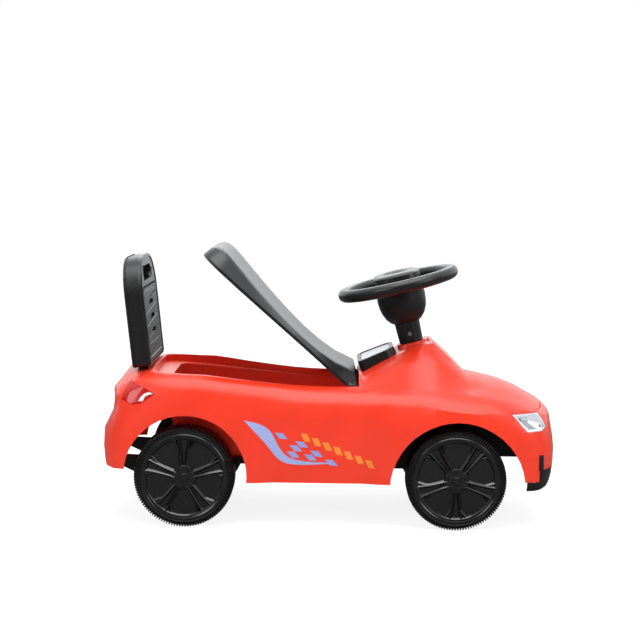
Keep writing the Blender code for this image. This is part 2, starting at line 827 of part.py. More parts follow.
def grille_prism(name, grow):
    top = GRILLE_HALF_WIDTH + grow
    low = GRILLE_HALF_WIDTH - 0.008 + grow
    outline = [(-top, GRILLE_TOP_Z + grow), (top, GRILLE_TOP_Z + grow),
               (low, GRILLE_BOTTOM_Z - grow), (-low, GRILLE_BOTTOM_Z - grow)]
    rings = [[(x, y, z) for y, z in outline] for x in (NOSE - 0.02, NOSE + 0.01)]
    return add_object(name, loft(name, rings), None, True)


grille = wall_insert("front_grille", grille_prism, BLACK)
grille_gap = (GRILLE_TOP_Z - GRILLE_BOTTOM_Z - GRILLE_BAR) / (GRILLE_BARS + 1)
for k in range(GRILLE_BARS + 1):
    low = GRILLE_BOTTOM_Z + GRILLE_BAR / 2 + k * grille_gap + GRILLE_BAR / 2
    half = GRILLE_HALF_WIDTH - 0.013
    slot = box("grille_slot_%d" % k, (NOSE - 0.02, -half, low),
               (NOSE + 0.01, half, low + grille_gap - GRILLE_BAR), None, True)
    boolean(grille, slot)


BUMPER_STEPS = 8


def bumper_skin():
    """Black lip that wraps under the nose from corner to corner."""
    reach = (FRONT_CORNER - BUMPER_STRIP_BACK - 0.001) / FRONT_CORNER
    phi_end = math_acos_power(reach)
    columns = []
    for k in range(BUMPER_STEPS + 1):
        phi = phi_end * k / BUMPER_STEPS
        column = []
        for z, inset in ((BUMPER_BOTTOM_Z, 0.006), (BUMPER_BOTTOM_Z + 0.003, 0.002),
                         (SKIRT_Z + 0.002, 0.0), (0.5 * (SKIRT_Z + BUMPER_TOP_Z), 0.0),
                         (BUMPER_TOP_Z + 0.004, 0.0)):
            level = max(z, SKIRT_Z)
            half = wall_half(FRONT_CORNER_X, level)
            x, y = plan_point("front", phi, level, half - inset)
            column.append((x - inset * corner_parts(phi)[0], -y, z))
        columns.append(column)
    mesh = loft("bumper_skin", columns, close_ring=False, cap=False)
    bm = bmesh.new()
    bm.from_mesh(mesh)
    for vert in bm.verts:
        if abs(vert.co.y) < 1e-5:
            vert.co.y = 0.0
    bm.faces.ensure_lookup_table()
    if max(bm.faces, key=lambda f: f.calc_center_median().x).normal.x < 0:
        bmesh.ops.reverse_faces(bm, faces=bm.faces)
    bm.to_mesh(mesh)
    bm.free()
    return smooth(mesh)


def math_acos_power(reach):
    """Corner angle at which the superellipse has come this far forward."""
    return atan2(sqrt(1 - reach ** CORNER_POWER), reach ** (CORNER_POWER / 2))


bumper = add_object("front_bumper", bumper_skin(), BLACK)
shell_modifiers(bumper)


def bumper_block(name, back, gap):
    """Block with the bumper's side view: a lip with a strip behind it."""
    tall = NOSE - BUMPER_BEHIND_NOSE - gap
    low, front = BUMPER_BOTTOM_Z - 0.01, NOSE + 0.02
    outline = [(back, low), (front, low), (front, BUMPER_TOP_Z + gap),
               (tall, BUMPER_TOP_Z + gap), (tall, BUMPER_STRIP_Z + gap),
               (back, BUMPER_STRIP_Z + gap)]
    return prism_y(name, outline, -BODY_HALF_WIDTH - 0.02, BODY_HALF_WIDTH + 0.02)


boolean(bumper, bumper_block("bumper_shape", NOSE - BUMPER_STRIP_BACK, 0.0),
        "INTERSECT")
boolean(body, bumper_block("bumper_opening", FRONT_CORNER_X - 0.002, FIT))

# The tail skirt ends above the bumper line, behind the rear wheels
tail_cut = box("tail_cut", (TAIL - 0.01, -BODY_HALF_WIDTH - 0.02, SKIRT_Z - 0.02),
               (REAR_AXLE_X - WHEEL_RADIUS, BODY_HALF_WIDTH + 0.02, TAIL_SKIRT_Z),
               None, True)
boolean(body, tail_cut)


# Storage tub under the lid
def tub_outline(inset, steps=12):
    half_y = TUB_HALF_WIDTH - TUB_WALL - inset
    rear = TUB_REAR + TUB_WALL + inset
    front = TUB_FRONT - inset
    start = rear + TUB_CORNER
    half = [(front + (start - front) * k / steps, half_y)
            for k in range(steps + 1)]
    for k in range(1, 6):
        a = pi / 2 * k / 5
        half.append((start - TUB_CORNER * sin(a),
                     half_y - TUB_CORNER + TUB_CORNER * cos(a)))
    return [(x, -y) for x, y in half] + [(x, y) for x, y in reversed(half)]


def tub_surface():
    flange = rim_outline(RIM_WALL, front=TUB_FLANGE_FRONT)
    rings = [[(x, y, ledge_z(x)) for x, y in flange],
             [(x, y, ledge_z(x)) for x, y in tub_outline(0.0)],
             [(x, y, TUB_FLOOR_Z + 0.008) for x, y in tub_outline(TUB_TAPER)],
             [(x, y, TUB_FLOOR_Z) for x, y in tub_outline(TUB_TAPER + 0.006)]]
    mesh = loft("tub_surface", rings, cap=False)
    bm = bmesh.new()
    bm.from_mesh(mesh)
    rim_edges = [e for e in bm.edges if e.is_boundary
                 and e.verts[0].co.z < TUB_FLOOR_Z + 1e-4]
    bmesh.ops.edgeloop_fill(bm, edges=rim_edges)
    bmesh.ops.recalc_face_normals(bm, faces=bm.faces)
    bm.faces.ensure_lookup_table()
    floor = min(bm.faces, key=lambda f: f.calc_center_median().z)
    if floor.normal.z < 0:
        bmesh.ops.reverse_faces(bm, faces=bm.faces)
    bm.to_mesh(mesh)
    bm.free()
    return smooth(mesh, 40)


tub = add_object("storage_tub", tub_surface(), RED)
tub_wall = tub.modifiers.new("Wall", "SOLIDIFY")
tub_wall.thickness = TUB_WALL
tub_wall.offset = -1.0
tub_wall.use_even_offset = True
for side in (-1, 1):
    ys = sorted((side * (HINGE_EAR_Y - HINGE_EAR_WIDTH / 2),
                 side * (HINGE_EAR_Y + HINGE_EAR_WIDTH / 2)))
    ear = box("hinge_ear_%d" % (side + 1),
              (HINGE_X - 0.0045, ys[0], ledge_z(HINGE_X) - TUB_WALL / 2),
              (HINGE_X + 0.0055, ys[1], HINGE_Z + 0.0055), None, True)
    boolean(tub, ear, "UNION")
rod_y = HINGE_EAR_Y + HINGE_EAR_WIDTH / 2 + 0.0015
hinge_hole = rod("hinge_hole", (HINGE_X, -rod_y - 0.005, HINGE_Z),
                 (HINGE_X, rod_y + 0.005, HINGE_Z), HINGE_ROD_RADIUS + FIT,
                 None, True, 16)
boolean(tub, hinge_hole)
hinge_rod = rod("seat_hinge_rod", (HINGE_X, -rod_y, HINGE_Z),
                (HINGE_X, rod_y, HINGE_Z), HINGE_ROD_RADIUS, STEEL, False, 16)

# Chassis tray under the tub, with the rear rails and the axle saddles
tray_top = TUB_FLOOR_Z - TUB_WALL - FIT
tray = box("chassis_tray", (TRAY_REAR, -TRAY_HALF_WIDTH, tray_top - TRAY_WALL
                            - TRAY_RIB),
           (TRAY_FRONT, TRAY_HALF_WIDTH, tray_top), BLACK)
cells = 4
cell = (TRAY_FRONT - TRAY_REAR - TRAY_WALL) / cells
for k in range(cells):
    hollow = box("tray_hollow_%d" % k,
                 (TRAY_REAR + TRAY_WALL + k * cell, -TRAY_HALF_WIDTH + TRAY_WALL,
                  tray_top - TRAY_WALL - TRAY_RIB - 0.01),
                 (TRAY_REAR + (k + 1) * cell, TRAY_HALF_WIDTH - TRAY_WALL,
                  tray_top - TRAY_WALL), None, True)
    boolean(tray, hollow)
rail_end = (end_wall_x("rear", TAIL_SKIRT_Z, RAIL_Y + RAIL_WIDTH / 2)
            + 1.1 * BODY_WALL + 2 * FIT)
SADDLE_HALF = 0.010
SADDLE_Y = 0.0685
SADDLE_WIDTH = 0.013
saddle_out = SADDLE_Y + SADDLE_WIDTH / 2
saddle_in = SADDLE_Y - SADDLE_WIDTH / 2
for side_name, side in (("right", -1), ("left", 1)):
    ys = sorted((side * (RAIL_Y - RAIL_WIDTH / 2), side * (RAIL_Y + RAIL_WIDTH / 2)))
    side_view = [(TRAY_REAR + 0.010, tray_top - 0.0002),
                 (rail_end, tray_top + 0.0025), (rail_end, TAIL_SKIRT_Z + 0.0010),
                 (TRAY_REAR - 0.018, SKIRT_Z - 0.0010),
                 (TRAY_REAR + 0.010, tray_top - TRAY_WALL - TRAY_RIB + 0.0005)]
    rail = add_object("rail_shape_" + side_name, loft(
        "rail", [[(x, y, z) for x, z in side_view] for y in ys]), None, True)
    boolean(tray, rail, "UNION")
    ys = sorted((side * saddle_in, side * saddle_out))
    saddle = box("saddle_shape_" + side_name,
                 (REAR_AXLE_X - SADDLE_HALF, ys[0], WHEEL_RADIUS + FIT / 2),
                 (REAR_AXLE_X + SADDLE_HALF, ys[1], tray_top - TRAY_WALL / 2),
                 None, True)
    boolean(tray, saddle, "UNION")
    clamp = box("axle_clamp_" + side_name,
                (REAR_AXLE_X - SADDLE_HALF, ys[0], WHEEL_RADIUS - 0.0085),
                (REAR_AXLE_X + SADDLE_HALF, ys[1], WHEEL_RADIUS - FIT / 2), BLACK)
    groove = rod("clamp_groove_" + side_name, (REAR_AXLE_X, ys[0] - 0.002,
                                               WHEEL_RADIUS),
                 (REAR_AXLE_X, ys[1] + 0.002, WHEEL_RADIUS), AXLE_RADIUS + FIT,
                 None, True, 24)
    boolean(clamp, groove)
    boolean(tray, groove)
    spacer = turned("axle_spacer_" + side_name,
                    [(AXLE_RADIUS + RUN_FIT, 0.0), (WASHER_RADIUS, 0.0),
                     (WASHER_RADIUS, saddle_out + FIT - WHEEL_INNER_Y + FIT),
                     (AXLE_RADIUS + RUN_FIT, saddle_out + FIT - WHEEL_INNER_Y + FIT)],
                    12, NYLON)
    place(spacer, (REAR_AXLE_X, side * (WHEEL_INNER_Y - FIT), WHEEL_RADIUS),
          (-side * pi / 2, 0.0, 0.0))

# Wheels: drum with a moulded tread wall, a spoked trim and a hub cap
trim_floor = WHEEL_WIDTH - TRIM_SEAT
rim_in = TRIM_RADIUS + 0.0005
drum_profile = [
    (rim_in, WHEEL_WIDTH), (WHEEL_RADIUS - 0.0030, WHEEL_WIDTH),
    (WHEEL_RADIUS - 0.0008, WHEEL_WIDTH - 0.0016),
    (WHEEL_RADIUS, WHEEL_WIDTH - 0.0045), (WHEEL_RADIUS, 0.0035),
    (WHEEL_RADIUS - 0.0025, 0.0),
    (WHEEL_RADIUS - TREAD_WALL, 0.0),
    (WHEEL_RADIUS - TREAD_WALL, trim_floor - WEB_WALL),
    (HUB_RADIUS, trim_floor - WEB_WALL), (HUB_RADIUS - 0.001, 0.0),
    (AXLE_RADIUS + RUN_FIT, 0.0), (AXLE_RADIUS + RUN_FIT, trim_floor),
    (rim_in, trim_floor)]


def circle(radius, steps, cx=0.0, cy=0.0, start=0.0):
    return [(cx + radius * cos(start + 2 * pi * k / steps),
             cy + radius * sin(start + 2 * pi * k / steps)) for k in range(steps)]


def trim_loops(turn):
    """Trim outline: paired spokes, a slot in each pair, windows between."""
    loops = [circle(TRIM_RADIUS, 24), circle(WASHER_RADIUS + 0.001, 10)]
    r_in, r_out = TRIM_HUB + 0.002, TRIM_RADIUS - TRIM_RIM
    step = 2 * pi / SPOKE_PAIRS

    def slot_half(r):
        return 0.0010 + 0.0032 * (r - r_in) / (r_out - r_in)

    for k in range(SPOKE_PAIRS):
        mid = turn + step * k
        r0, r1 = r_in + 0.0035, r_out - 0.0005
        a0, a1 = slot_half(r0) / r0, slot_half(r1) / r1
        loops.append([(r * cos(mid + a), r * sin(mid + a))
                      for r, a in ((r0, -a0), (r1, -a1), (r1, a1), (r0, a0))])
        edge_in = (slot_half(r_in) + SPOKE_WIDTH) / r_in
        edge_out = (slot_half(r_out) + SPOKE_WIDTH) / r_out
        window = [(r_in, mid + step - edge_in), (r_in, mid + edge_in)]
        for j in range(4):
            window.append((r_out, mid + edge_out
                           + (step - 2 * edge_out) * j / 3))
        loops.append([(r * cos(a), r * sin(a)) for r, a in window])
    return loops


cap_profile = [(0.0, HUB_CAP_RISE), (HUB_CAP_RADIUS * 0.80, HUB_CAP_RISE - 0.0003),
               (HUB_CAP_RADIUS, 0.0012), (HUB_CAP_RADIUS, 0.0), (0.0, 0.0)]

wheel_spots = [("rear_right", REAR_AXLE_X, -1), ("rear_left", REAR_AXLE_X, 1),
               ("front_right", FRONT_AXLE_X, -1), ("front_left", FRONT_AXLE_X, 1)]
wheel_pivots = {}
for spot, axle_x, side in wheel_spots:
    pivot = bpy.data.objects.new("pivot_wheel_" + spot, None)
    car.objects.link(pivot)
    pivot.empty_display_size = 0.03
    place(pivot, (axle_x, side * WHEEL_INNER_Y, WHEEL_RADIUS),
          (-side * pi / 2, 0.0, 0.0))
    wheel_pivots[spot] = pivot
    drum = turned("wheel_" + spot, drum_profile, 24, TYRE)
    drum.parent = pivot
    first = pi / 2 if spot.startswith("rear") else -pi / 2
    first = -first if side < 0 else first
    trim = outline_solid("wheel_trim_" + spot, trim_loops(side * first * side),
                         TRIM_DEPTH, TRIM)
    place(trim, (0.0, 0.0, trim_floor + FIT + TRIM_DEPTH / 2), parent=pivot)
    cap = turned("hub_cap_" + spot, cap_profile, 14, TRIM, closed=False)
    place(cap, (0.0, 0.0, trim_floor + 2 * FIT + TRIM_DEPTH), parent=pivot)

washer_y = WHEEL_INNER_Y + trim_floor + FIT
axle_end = washer_y + TRIM_DEPTH - 0.0006
rear_axle = turned("rear_axle", [
    (0.0, axle_end), (AXLE_RADIUS, axle_end),
    (AXLE_RADIUS, washer_y + WASHER_THICK),
    (WASHER_RADIUS, washer_y + WASHER_THICK), (WASHER_RADIUS, washer_y),
    (AXLE_RADIUS, washer_y), (AXLE_RADIUS, -washer_y), (WASHER_RADIUS, -washer_y),
    (WASHER_RADIUS, -washer_y - WASHER_THICK),
    (AXLE_RADIUS, -washer_y - WASHER_THICK), (AXLE_RADIUS, -axle_end),
    (0.0, -axle_end)], 12, STEEL, closed=False)
place(rear_axle, (REAR_AXLE_X, 0.0, WHEEL_RADIUS), (pi / 2, 0.0, 0.0))


# Backrest, plugged into the boot deck by two tongues
up = Vector((-sin(BACK_LEAN), 0.0, cos(BACK_LEAN)))
ahead = Vector((cos(BACK_LEAN), 0.0, sin(BACK_LEAN)))
back_base = Vector((BACK_X, 0.0, deck_z(BACK_X, 0.0) + 2.5 * FIT))
back_turn = Matrix((Vector((0, 1, 0)), up, ahead)).transposed().to_4x4()
back_frame = Matrix.Translation(back_base) @ back_turn


def back_place(obj, x=0.0, y=0.0, z=0.0):
    obj.matrix_world = back_frame @ Matrix.Translation((x, y, z))
    return obj


def back_outline(inset):
    half_top = BACK_HALF_WIDTH - BACK_TAPER - inset
    half_low = BACK_HALF_WIDTH - 0.004 - inset
    low, high = inset, BACK_HEIGHT - inset
    corner = BACK_CORNER - 0.7 * inset
    return round_corners([(-half_low, low), (half_low, low), (half_top, high),
                          (-half_top, high)],
                         [0.006, 0.006, corner, corner], 6)


hole_y = BACK_HEIGHT - HAND_HOLE_DOWN


def hand_hole(grow):
    half_w = HAND_HOLE_WIDTH / 2 + grow
    half_h = HAND_HOLE_HEIGHT / 2 + grow
    return round_corners([(-half_w, hole_y - half_h), (half_w, hole_y - half_h),
                          (half_w, hole_y + half_h), (-half_w, hole_y + half_h)],
                         half_h * 0.95, 4)


backrest = outline_solid("backrest_frame", [back_outline(0.0), hand_hole(0.0)],
                         BACK_THICK, BLACK)
back_place(backrest)
bevel(backrest, BACK_ROUND, 2)
panel_top = hole_y - HAND_HOLE_HEIGHT / 2 - 0.010


def panel_outline(grow):
    half = BACK_HALF_WIDTH - BACK_BORDER - 0.002 + grow
    return round_corners([(-half + 0.003, BACK_BORDER - grow),
                          (half - 0.003, BACK_BORDER - grow),
                          (half, panel_top + grow), (-half, panel_top + grow)],
                         0.012, 4)


recess = outline_solid("back_recess", [panel_outline(FIT)], 0.02, None, True)
back_place(recess, z=BACK_THICK / 2 - BACK_RECESS + 0.01)
boolean(backrest, recess)
slots = []
for k in range(3):
    y = BACK_BORDER + 0.028 + 0.020 * k
    slots.append(round_corners([(-0.022, y), (0.022, y), (0.022, y + 0.006),
                                (-0.022, y + 0.006)], 0.0028, 2))
panel = outline_solid("backrest_panel", [panel_outline(0.0)] + slots,
                      BACK_RECESS, SATIN)
back_place(panel, z=BACK_THICK / 2 - BACK_RECESS / 2 + FIT)
for side in (-1, 1):
    for grow, target, operation in ((0.0, backrest, "UNION"),
                                    (FIT, body, "DIFFERENCE")):
        half_w = TONGUE_WIDTH / 2 + grow
        half_t = TONGUE_THICK / 2 + grow
        low = -TONGUE_DEPTH - 5 * grow
        tongue = box("tongue_%d_%s" % (side + 1, operation.lower()),
                     (side * TONGUE_Y - half_w, low, -half_t),
                     (side * TONGUE_Y + half_w, 0.006, half_t),
                     None, True, back_frame)
        boolean(target, tongue, operation)

# Seat lid, a thin shell with ribs, built about its hinge and turned open
LID_DRAWN = 0.2605            # the crown below is drawn along a lid this long
LID_CROWN = [(0.0105, 0.0172), (0.026, 0.0135), (0.042, 0.0108), (0.060, 0.0092),
             (0.080, 0.0084), (0.100, 0.0088), (0.120, 0.0100), (0.140, 0.0116),
             (0.160, 0.0136), (0.180, 0.0160), (0.200, 0.0188), (0.220, 0.0218)]
TOP_CURVE = ([(-0.0127, 0.0125), (-0.004, 0.0180), (0.001, 0.0212)]
             + [(s * SEAT_LENGTH / LID_DRAWN, rise) for s, rise in LID_CROWN]
             + [(SEAT_LENGTH - 0.021, 0.0236), (SEAT_LENGTH - 0.011, 0.0232),
                (SEAT_LENGTH - 0.005, 0.0198), (SEAT_LENGTH - 0.0015, 0.0130),
                (SEAT_LENGTH, 0.0040)])
seat_stations = ([s for s, t in TOP_CURVE[:3]]
                 + [TOP_CURVE[2][0] + (SEAT_LENGTH - SEAT_CORNER
                                       - TOP_CURVE[2][0]) * k / 8
                    for k in range(1, 9)]
                 + [SEAT_LENGTH - d for d in (0.023, 0.014, 0.0065, 0.002,
                                              0.0)])
FRONT_LIFT = TOP_CURVE[0][1] / -TOP_CURVE[0][0]
SEAT_LIP = 0.0020


def seat_half(s):
    x = HINGE_X - (SEAT_HINGE_AHEAD + s) * cos(LEDGE_SLOPE)
    straight = SEAT_LENGTH - SEAT_CORNER
    x = max(x, HINGE_X - (SEAT_HINGE_AHEAD + straight) * cos(LEDGE_SLOPE))
    half = edge_half(x) - RIM_LAND - SEAT_SIDE_GAP
    if s > straight:
        d = s - straight
        half -= SEAT_CORNER - sqrt(max(0.0, SEAT_CORNER ** 2 - d * d))
    return half


def seat_local(s, y, t):
    return (-(s + SEAT_HINGE_AHEAD), y, t - SEAT_HINGE_HEIGHT)


def seat_ring(s, inset=0.0, below=0.0):
    """Cross-section of the lid; with an inset, of the hollow under it."""
    half = seat_half(min(s + inset, SEAT_LENGTH)) - inset
    low = max(0.0, -s * FRONT_LIFT - SEAT_LIP)
    outer_top = smooth_curve(TOP_CURVE, s)
    top = min(outer_top, smooth_curve(TOP_CURVE, s + inset)) - inset
    rise = outer_top - low
    skirt = low + min(SEAT_SKIRT, 0.45 * rise) - 0.3 * inset
    edge = seat_half(min(s + inset, SEAT_LENGTH)) - SEAT_SLOPE_IN
    half_ring = [(half, low - below), (half - 0.0008, skirt),
                 (edge + 0.0060, skirt + 0.80 * (top - skirt)), (edge, top),
                 (edge / 2, top - 0.75 * SEAT_DISH * min(1.0, rise / 0.010))]
    middle = (0.0, top - SEAT_DISH * min(1.0, rise / 0.010))
    ring = ([(-y, t) for y, t in half_ring] + [middle]
            + [(y, t) for y, t in reversed(half_ring)])
    return [seat_local(s, y, t) for y, t in ring]


seat = add_object("seat_lid", smooth(triangulate(loft(
    "seat_lid", [seat_ring(s) for s in seat_stations]))), SATIN)
place(seat, (HINGE_X, 0.0, HINGE_Z), (0.0, SEAT_OPEN, 0.0))
seat_place = Matrix.LocRotScale(seat.location, Euler((0.0, SEAT_OPEN, 0.0)), None)


def seat_tool(name, mesh):
    obj = add_object(name, mesh, None, True)
    obj.matrix_world = seat_place
    return obj


RIB = 0.0022
rib_low = 0.0015
hollow_start = 0.006
hollow_end = SEAT_LENGTH - SEAT_WALL - 0.0015
hollow = seat_tool("seat_hollow", loft("seat_hollow", [
    seat_ring(hollow_start + (hollow_end - hollow_start) * k / 9,
              SEAT_WALL, 0.004) for k in range(10)]))
for k, y in enumerate((-0.028, 0.028)):
    rib = box("seat_long_rib_%d" % k,
              (-SEAT_LENGTH - SEAT_HINGE_AHEAD, y - RIB / 2,
               rib_low - SEAT_HINGE_HEIGHT),
              (-SEAT_HINGE_AHEAD, y + RIB / 2, 0.02), None, True)
    rib.matrix_world = seat_place
    boolean(hollow, rib)
for k in range(4):
    s = 0.052 + 0.049 * k
    rib = box("seat_cross_rib_%d" % k,
              (-s - RIB / 2 - SEAT_HINGE_AHEAD, -0.12, rib_low - SEAT_HINGE_HEIGHT),
              (-s + RIB / 2 - SEAT_HINGE_AHEAD, 0.12, 0.02), None, True)
    rib.matrix_world = seat_place
    boolean(hollow, rib)
boolean(seat, hollow)
for side in (-1, 1):
    y0 = side * LUG_Y - LUG_WIDTH / 2
    y1 = side * LUG_Y + LUG_WIDTH / 2
    arm = box("seat_arm_%d" % (side + 1), (-0.0133, y0 + 0.0012, -0.0037),
              (-0.0008, y1 - 0.0012, 0.0014), None, True)
    arm.matrix_world = seat_place
    boolean(seat, arm, "UNION")
    lug = rod("seat_lug_%d" % (side + 1), (0.0, y0 - 0.0002, 0.0),
              (0.0, y1 + 0.0002, 0.0), LUG_RADIUS, None, True, 20)
    lug.matrix_world = seat_place
    boolean(seat, lug, "UNION")
seat_bore = rod("seat_bore", (0.0, -rod_y - 0.01, 0.0), (0.0, rod_y + 0.01, 0.0),
                HINGE_ROD_RADIUS + RUN_FIT, None, True, 16)
seat_bore.matrix_world = seat_place
boolean(seat, seat_bore)

# Instrument panel: housing let into the dash, with a dish and a dial plate
gauge_turn = (0.0, -GAUGE_TILT, 0.0)


def gauge_outline(inset):
    half_l = GAUGE_LENGTH / 2 - inset
    half_w = GAUGE_WIDTH / 2 - inset
    return round_corners([(-half_l, -half_w), (half_l, -half_w + 0.008),
                          (half_l, half_w - 0.008), (-half_l, half_w)],
                         [0.008, 0.016 - inset / 2, 0.016 - inset / 2, 0.008], 4)


gauge_z = deck_z(GAUGE_X, 0.0) + GAUGE_LIFT
housing = place(outline_solid("gauge_housing", [gauge_outline(0.0)], GAUGE_THICK,
                              BLACK), (GAUGE_X, 0.0, gauge_z), gauge_turn)
bevel(housing, 0.0016, 1)
gauge_mat = Matrix.LocRotScale(Vector((GAUGE_X, 0.0, gauge_z)),
                               Euler(gauge_turn), None)
dish = outline_solid("gauge_dish", [gauge_outline(GAUGE_BORDER)], 0.02, None, True)
dish.matrix_world = gauge_mat @ Matrix.Translation(
    (0, 0, GAUGE_THICK / 2 - GAUGE_DISH + 0.01))
boolean(housing, dish)
face_thick = GAUGE_DISH / 2
gauge_face = outline_solid("gauge_face", [gauge_outline(GAUGE_BORDER + FIT)],
                           face_thick, SILVER)
gauge_face.matrix_world = gauge_mat @ Matrix.Translation(
    (0, 0, GAUGE_THICK / 2 - GAUGE_DISH + FIT + face_thick / 2))
gauge_cut = outline_solid("gauge_opening", [gauge_outline(-FIT)], 0.05, None, True)
gauge_cut.matrix_world = gauge_mat @ Matrix.Translation((0, 0, 0.012))
boolean(body, gauge_cut)

# Steering wheel, music box, neck and rod turn together about the column axis
steer = bpy.data.objects.new("pivot_steering", None)
car.objects.link(steer)
steer.empty_display_size = 0.05
place(steer, column_point(0.0), (0.0, -COLUMN_RAKE, 0.0))
steer_place = Matrix.LocRotScale(steer.location,
                                 Euler((0.0, -COLUMN_RAKE, 0.0)), None)


def steer_tool(obj):
    obj.parent = steer
    return obj


ring_profile = [(RING_RADIUS + RING_TUBE * sin(a), RING_TUBE * cos(a))
                for a in (2 * pi * k / 8 for k in range(8))]
ring = steer_tool(turned("steering_wheel", ring_profile, 28, BLACK))
hub = steer_tool(rod("steer_hub", (0, 0, -STEER_HUB_DROP), (0, 0, 0),
                     STEER_HUB_RADIUS, None, True, 20))
boolean(ring, hub, "UNION")
for side in (-1, 1):
    ys = (STEER_HUB_RADIUS * 0.7, RING_RADIUS - 0.001)
    rings = []
    for y, half, low, high in ((ys[0], 0.022, -0.0092, -0.0004),
                               (ys[1], 0.015, -0.0042, 0.0036)):
        rings.append([(-half, side * y, low), (half, side * y, low),
                      (half * 0.9, side * y, high), (-half * 0.9, side * y, high)])
    spoke = steer_tool(add_object("steer_spoke_%d" % (side + 1),
                                  loft("spoke", rings), None, True))
    boolean(ring, spoke, "UNION")
socket = steer_tool(rod("steer_socket", (0, 0, -STEER_HUB_DROP - 0.005),
                        (0, 0, -0.0040), COLUMN_RADIUS + FIT, None, True, 20))
boolean(ring, socket)


def pad_ring(scale, z, count=20):
    power = 2 / 3.0
    out = []
    for k in range(count):
        a = 2 * pi * k / count
        c, s = cos(a), sin(a)
        out.append((PAD_LENGTH / 2 * scale * abs(c) ** power * (1 if c >= 0 else -1),
                    PAD_WIDTH / 2 * scale * abs(s) ** power * (1 if s >= 0 else -1),
                    z))
    return out


pad = steer_tool(add_object("music_pad", smooth(loft("music_pad", [
    pad_ring(0.93, 0.0042), pad_ring(1.0, 0.0065), pad_ring(0.98, 0.0125),
    pad_ring(0.90, 0.0150), pad_ring(0.72, PAD_TOP)]), 40), SATIN))
pad_foot = steer_tool(rod("pad_foot", (0, 0, FIT), (0, 0, 0.006),
                          STEER_HUB_RADIUS - 0.004, None, True, 20))
boolean(pad, pad_foot, "UNION")
horn_seat = steer_tool(rod("horn_seat", (0, 0, PAD_TOP - 0.008),
                           (0, 0, PAD_TOP + 0.01), HORN_RADIUS + RUN_FIT,
                           None, True, 20))
boolean(pad, horn_seat)
horn_low = PAD_TOP - 0.008 + HORN_TRAVEL + FIT
horn = steer_tool(turned("horn_button", [
    (0.0, PAD_TOP + 0.0022), (HORN_RADIUS * 0.6, PAD_TOP + 0.0016),
    (HORN_RADIUS - 0.0008, PAD_TOP + 0.0004), (HORN_RADIUS, PAD_TOP - 0.0006),
    (HORN_RADIUS, horn_low), (0.0, horn_low)], 20, BLACK, closed=False))

bore = COLUMN_RADIUS + FIT
bowl_top = -STEER_HUB_DROP - FIT
bowl = steer_tool(turned("music_box", [
    (bore, bowl_top), (BOWL_RADIUS - 0.0012, bowl_top),
    (BOWL_RADIUS, -0.020),
    (BOWL_RADIUS - 0.0009, -0.030), (BOWL_RADIUS - 0.0026, -0.038),
    (BOWL_RADIUS - 0.0066, -0.047), (BOWL_RADIUS - 0.0118, -0.0532),
    (NECK_TOP_RADIUS + 0.001, -BOWL_BOTTOM), (bore, -BOWL_BOTTOM)], 20, BLACK))
neck_top = -BOWL_BOTTOM - FIT
neck = steer_tool(turned("steering_neck", [
    (bore, neck_top), (NECK_TOP_RADIUS, neck_top),
    (0.5 * (NECK_TOP_RADIUS + NECK_RADIUS), 0.5 * (neck_top - NECK_BOTTOM)),
    (NECK_RADIUS, -NECK_BOTTOM), (bore, -NECK_BOTTOM)], 20, BLACK))
SCREW_RADIUS = 0.0030
screw_q = neck_top - 0.0160
screw_bore = steer_tool(rod("screw_bore", (0, -0.03, screw_q),
                            (0, -bore - 0.0008, screw_q), SCREW_RADIUS + FIT,
                            None, True, 14))
boolean(neck, screw_bore)
steer_tool(rod("neck_screw", (0, -NECK_RADIUS + 0.0012, screw_q),
               (0, -bore - 0.0008 - FIT, screw_q), SCREW_RADIUS, STEEL, False, 14))

# Bent steel rod: down the column, back along the crank, down through the tie rod
axis_at_tie = WHEEL_CENTRE_X + (WHEEL_CENTRE_Z - TIE_Z) * tan(COLUMN_RAKE)
pin_x = axis_at_tie - CRANK / cos(COLUMN_RAKE)
arm_z = TIE_Z + 0.0125
run = (axis_at_tie - (arm_z - TIE_Z) * tan(COLUMN_RAKE) - pin_x)
arm_length = run / (cos(COLUMN_RAKE) + sin(COLUMN_RAKE) * tan(COLUMN_RAKE))
bend_z = arm_z + arm_length * sin(COLUMN_RAKE)
bend_q = (bend_z - WHEEL_CENTRE_Z) / cos(COLUMN_RAKE)


def bent_path(corners, radius, steps):
    out = [Vector(corners[0])]
    for a, p, b in zip(corners, corners[1:], corners[2:]):
        a, p, b = Vector(a), Vector(p), Vector(b)
        u, v = (a - p).normalized(), (b - p).normalized()
        half = u.angle(v) / 2
        reach = radius / tan(half)
        centre = p + (u + v).normalized() * (radius / sin(half))
        first = p + u * reach - centre
        turn_axis = first.cross(p + v * reach - centre).normalized()
        for k in range(steps + 1):
            turn = Matrix.Rotation((pi - 2 * half) * k / steps, 3, turn_axis)
            out.append(centre + turn @ first)
    out.append(Vector(corners[-1]))
    return out


rod_path = bent_path([column_point(-0.0045), column_point(bend_q),
                      (pin_x, 0.0, arm_z), (pin_x, 0.0, TIE_Z - 0.0055)],
                     0.0065, 4)
column = tube_solid("steering_rod", rod_path, COLUMN_RADIUS, STEEL, 3)
set_origin(column, column_point(0.0))

bush_top = boss_top - 0.0005
bush = turned("column_bush", [(COLUMN_RADIUS + RUN_FIT, 0.0), (BUSH_RADIUS, 0.0),
                              (BUSH_RADIUS, -0.014),
                              (COLUMN_RADIUS + RUN_FIT, -0.014)], 16, NYLON)
place(bush, column_point(bush_top), (0.0, -COLUMN_RAKE, 0.0))

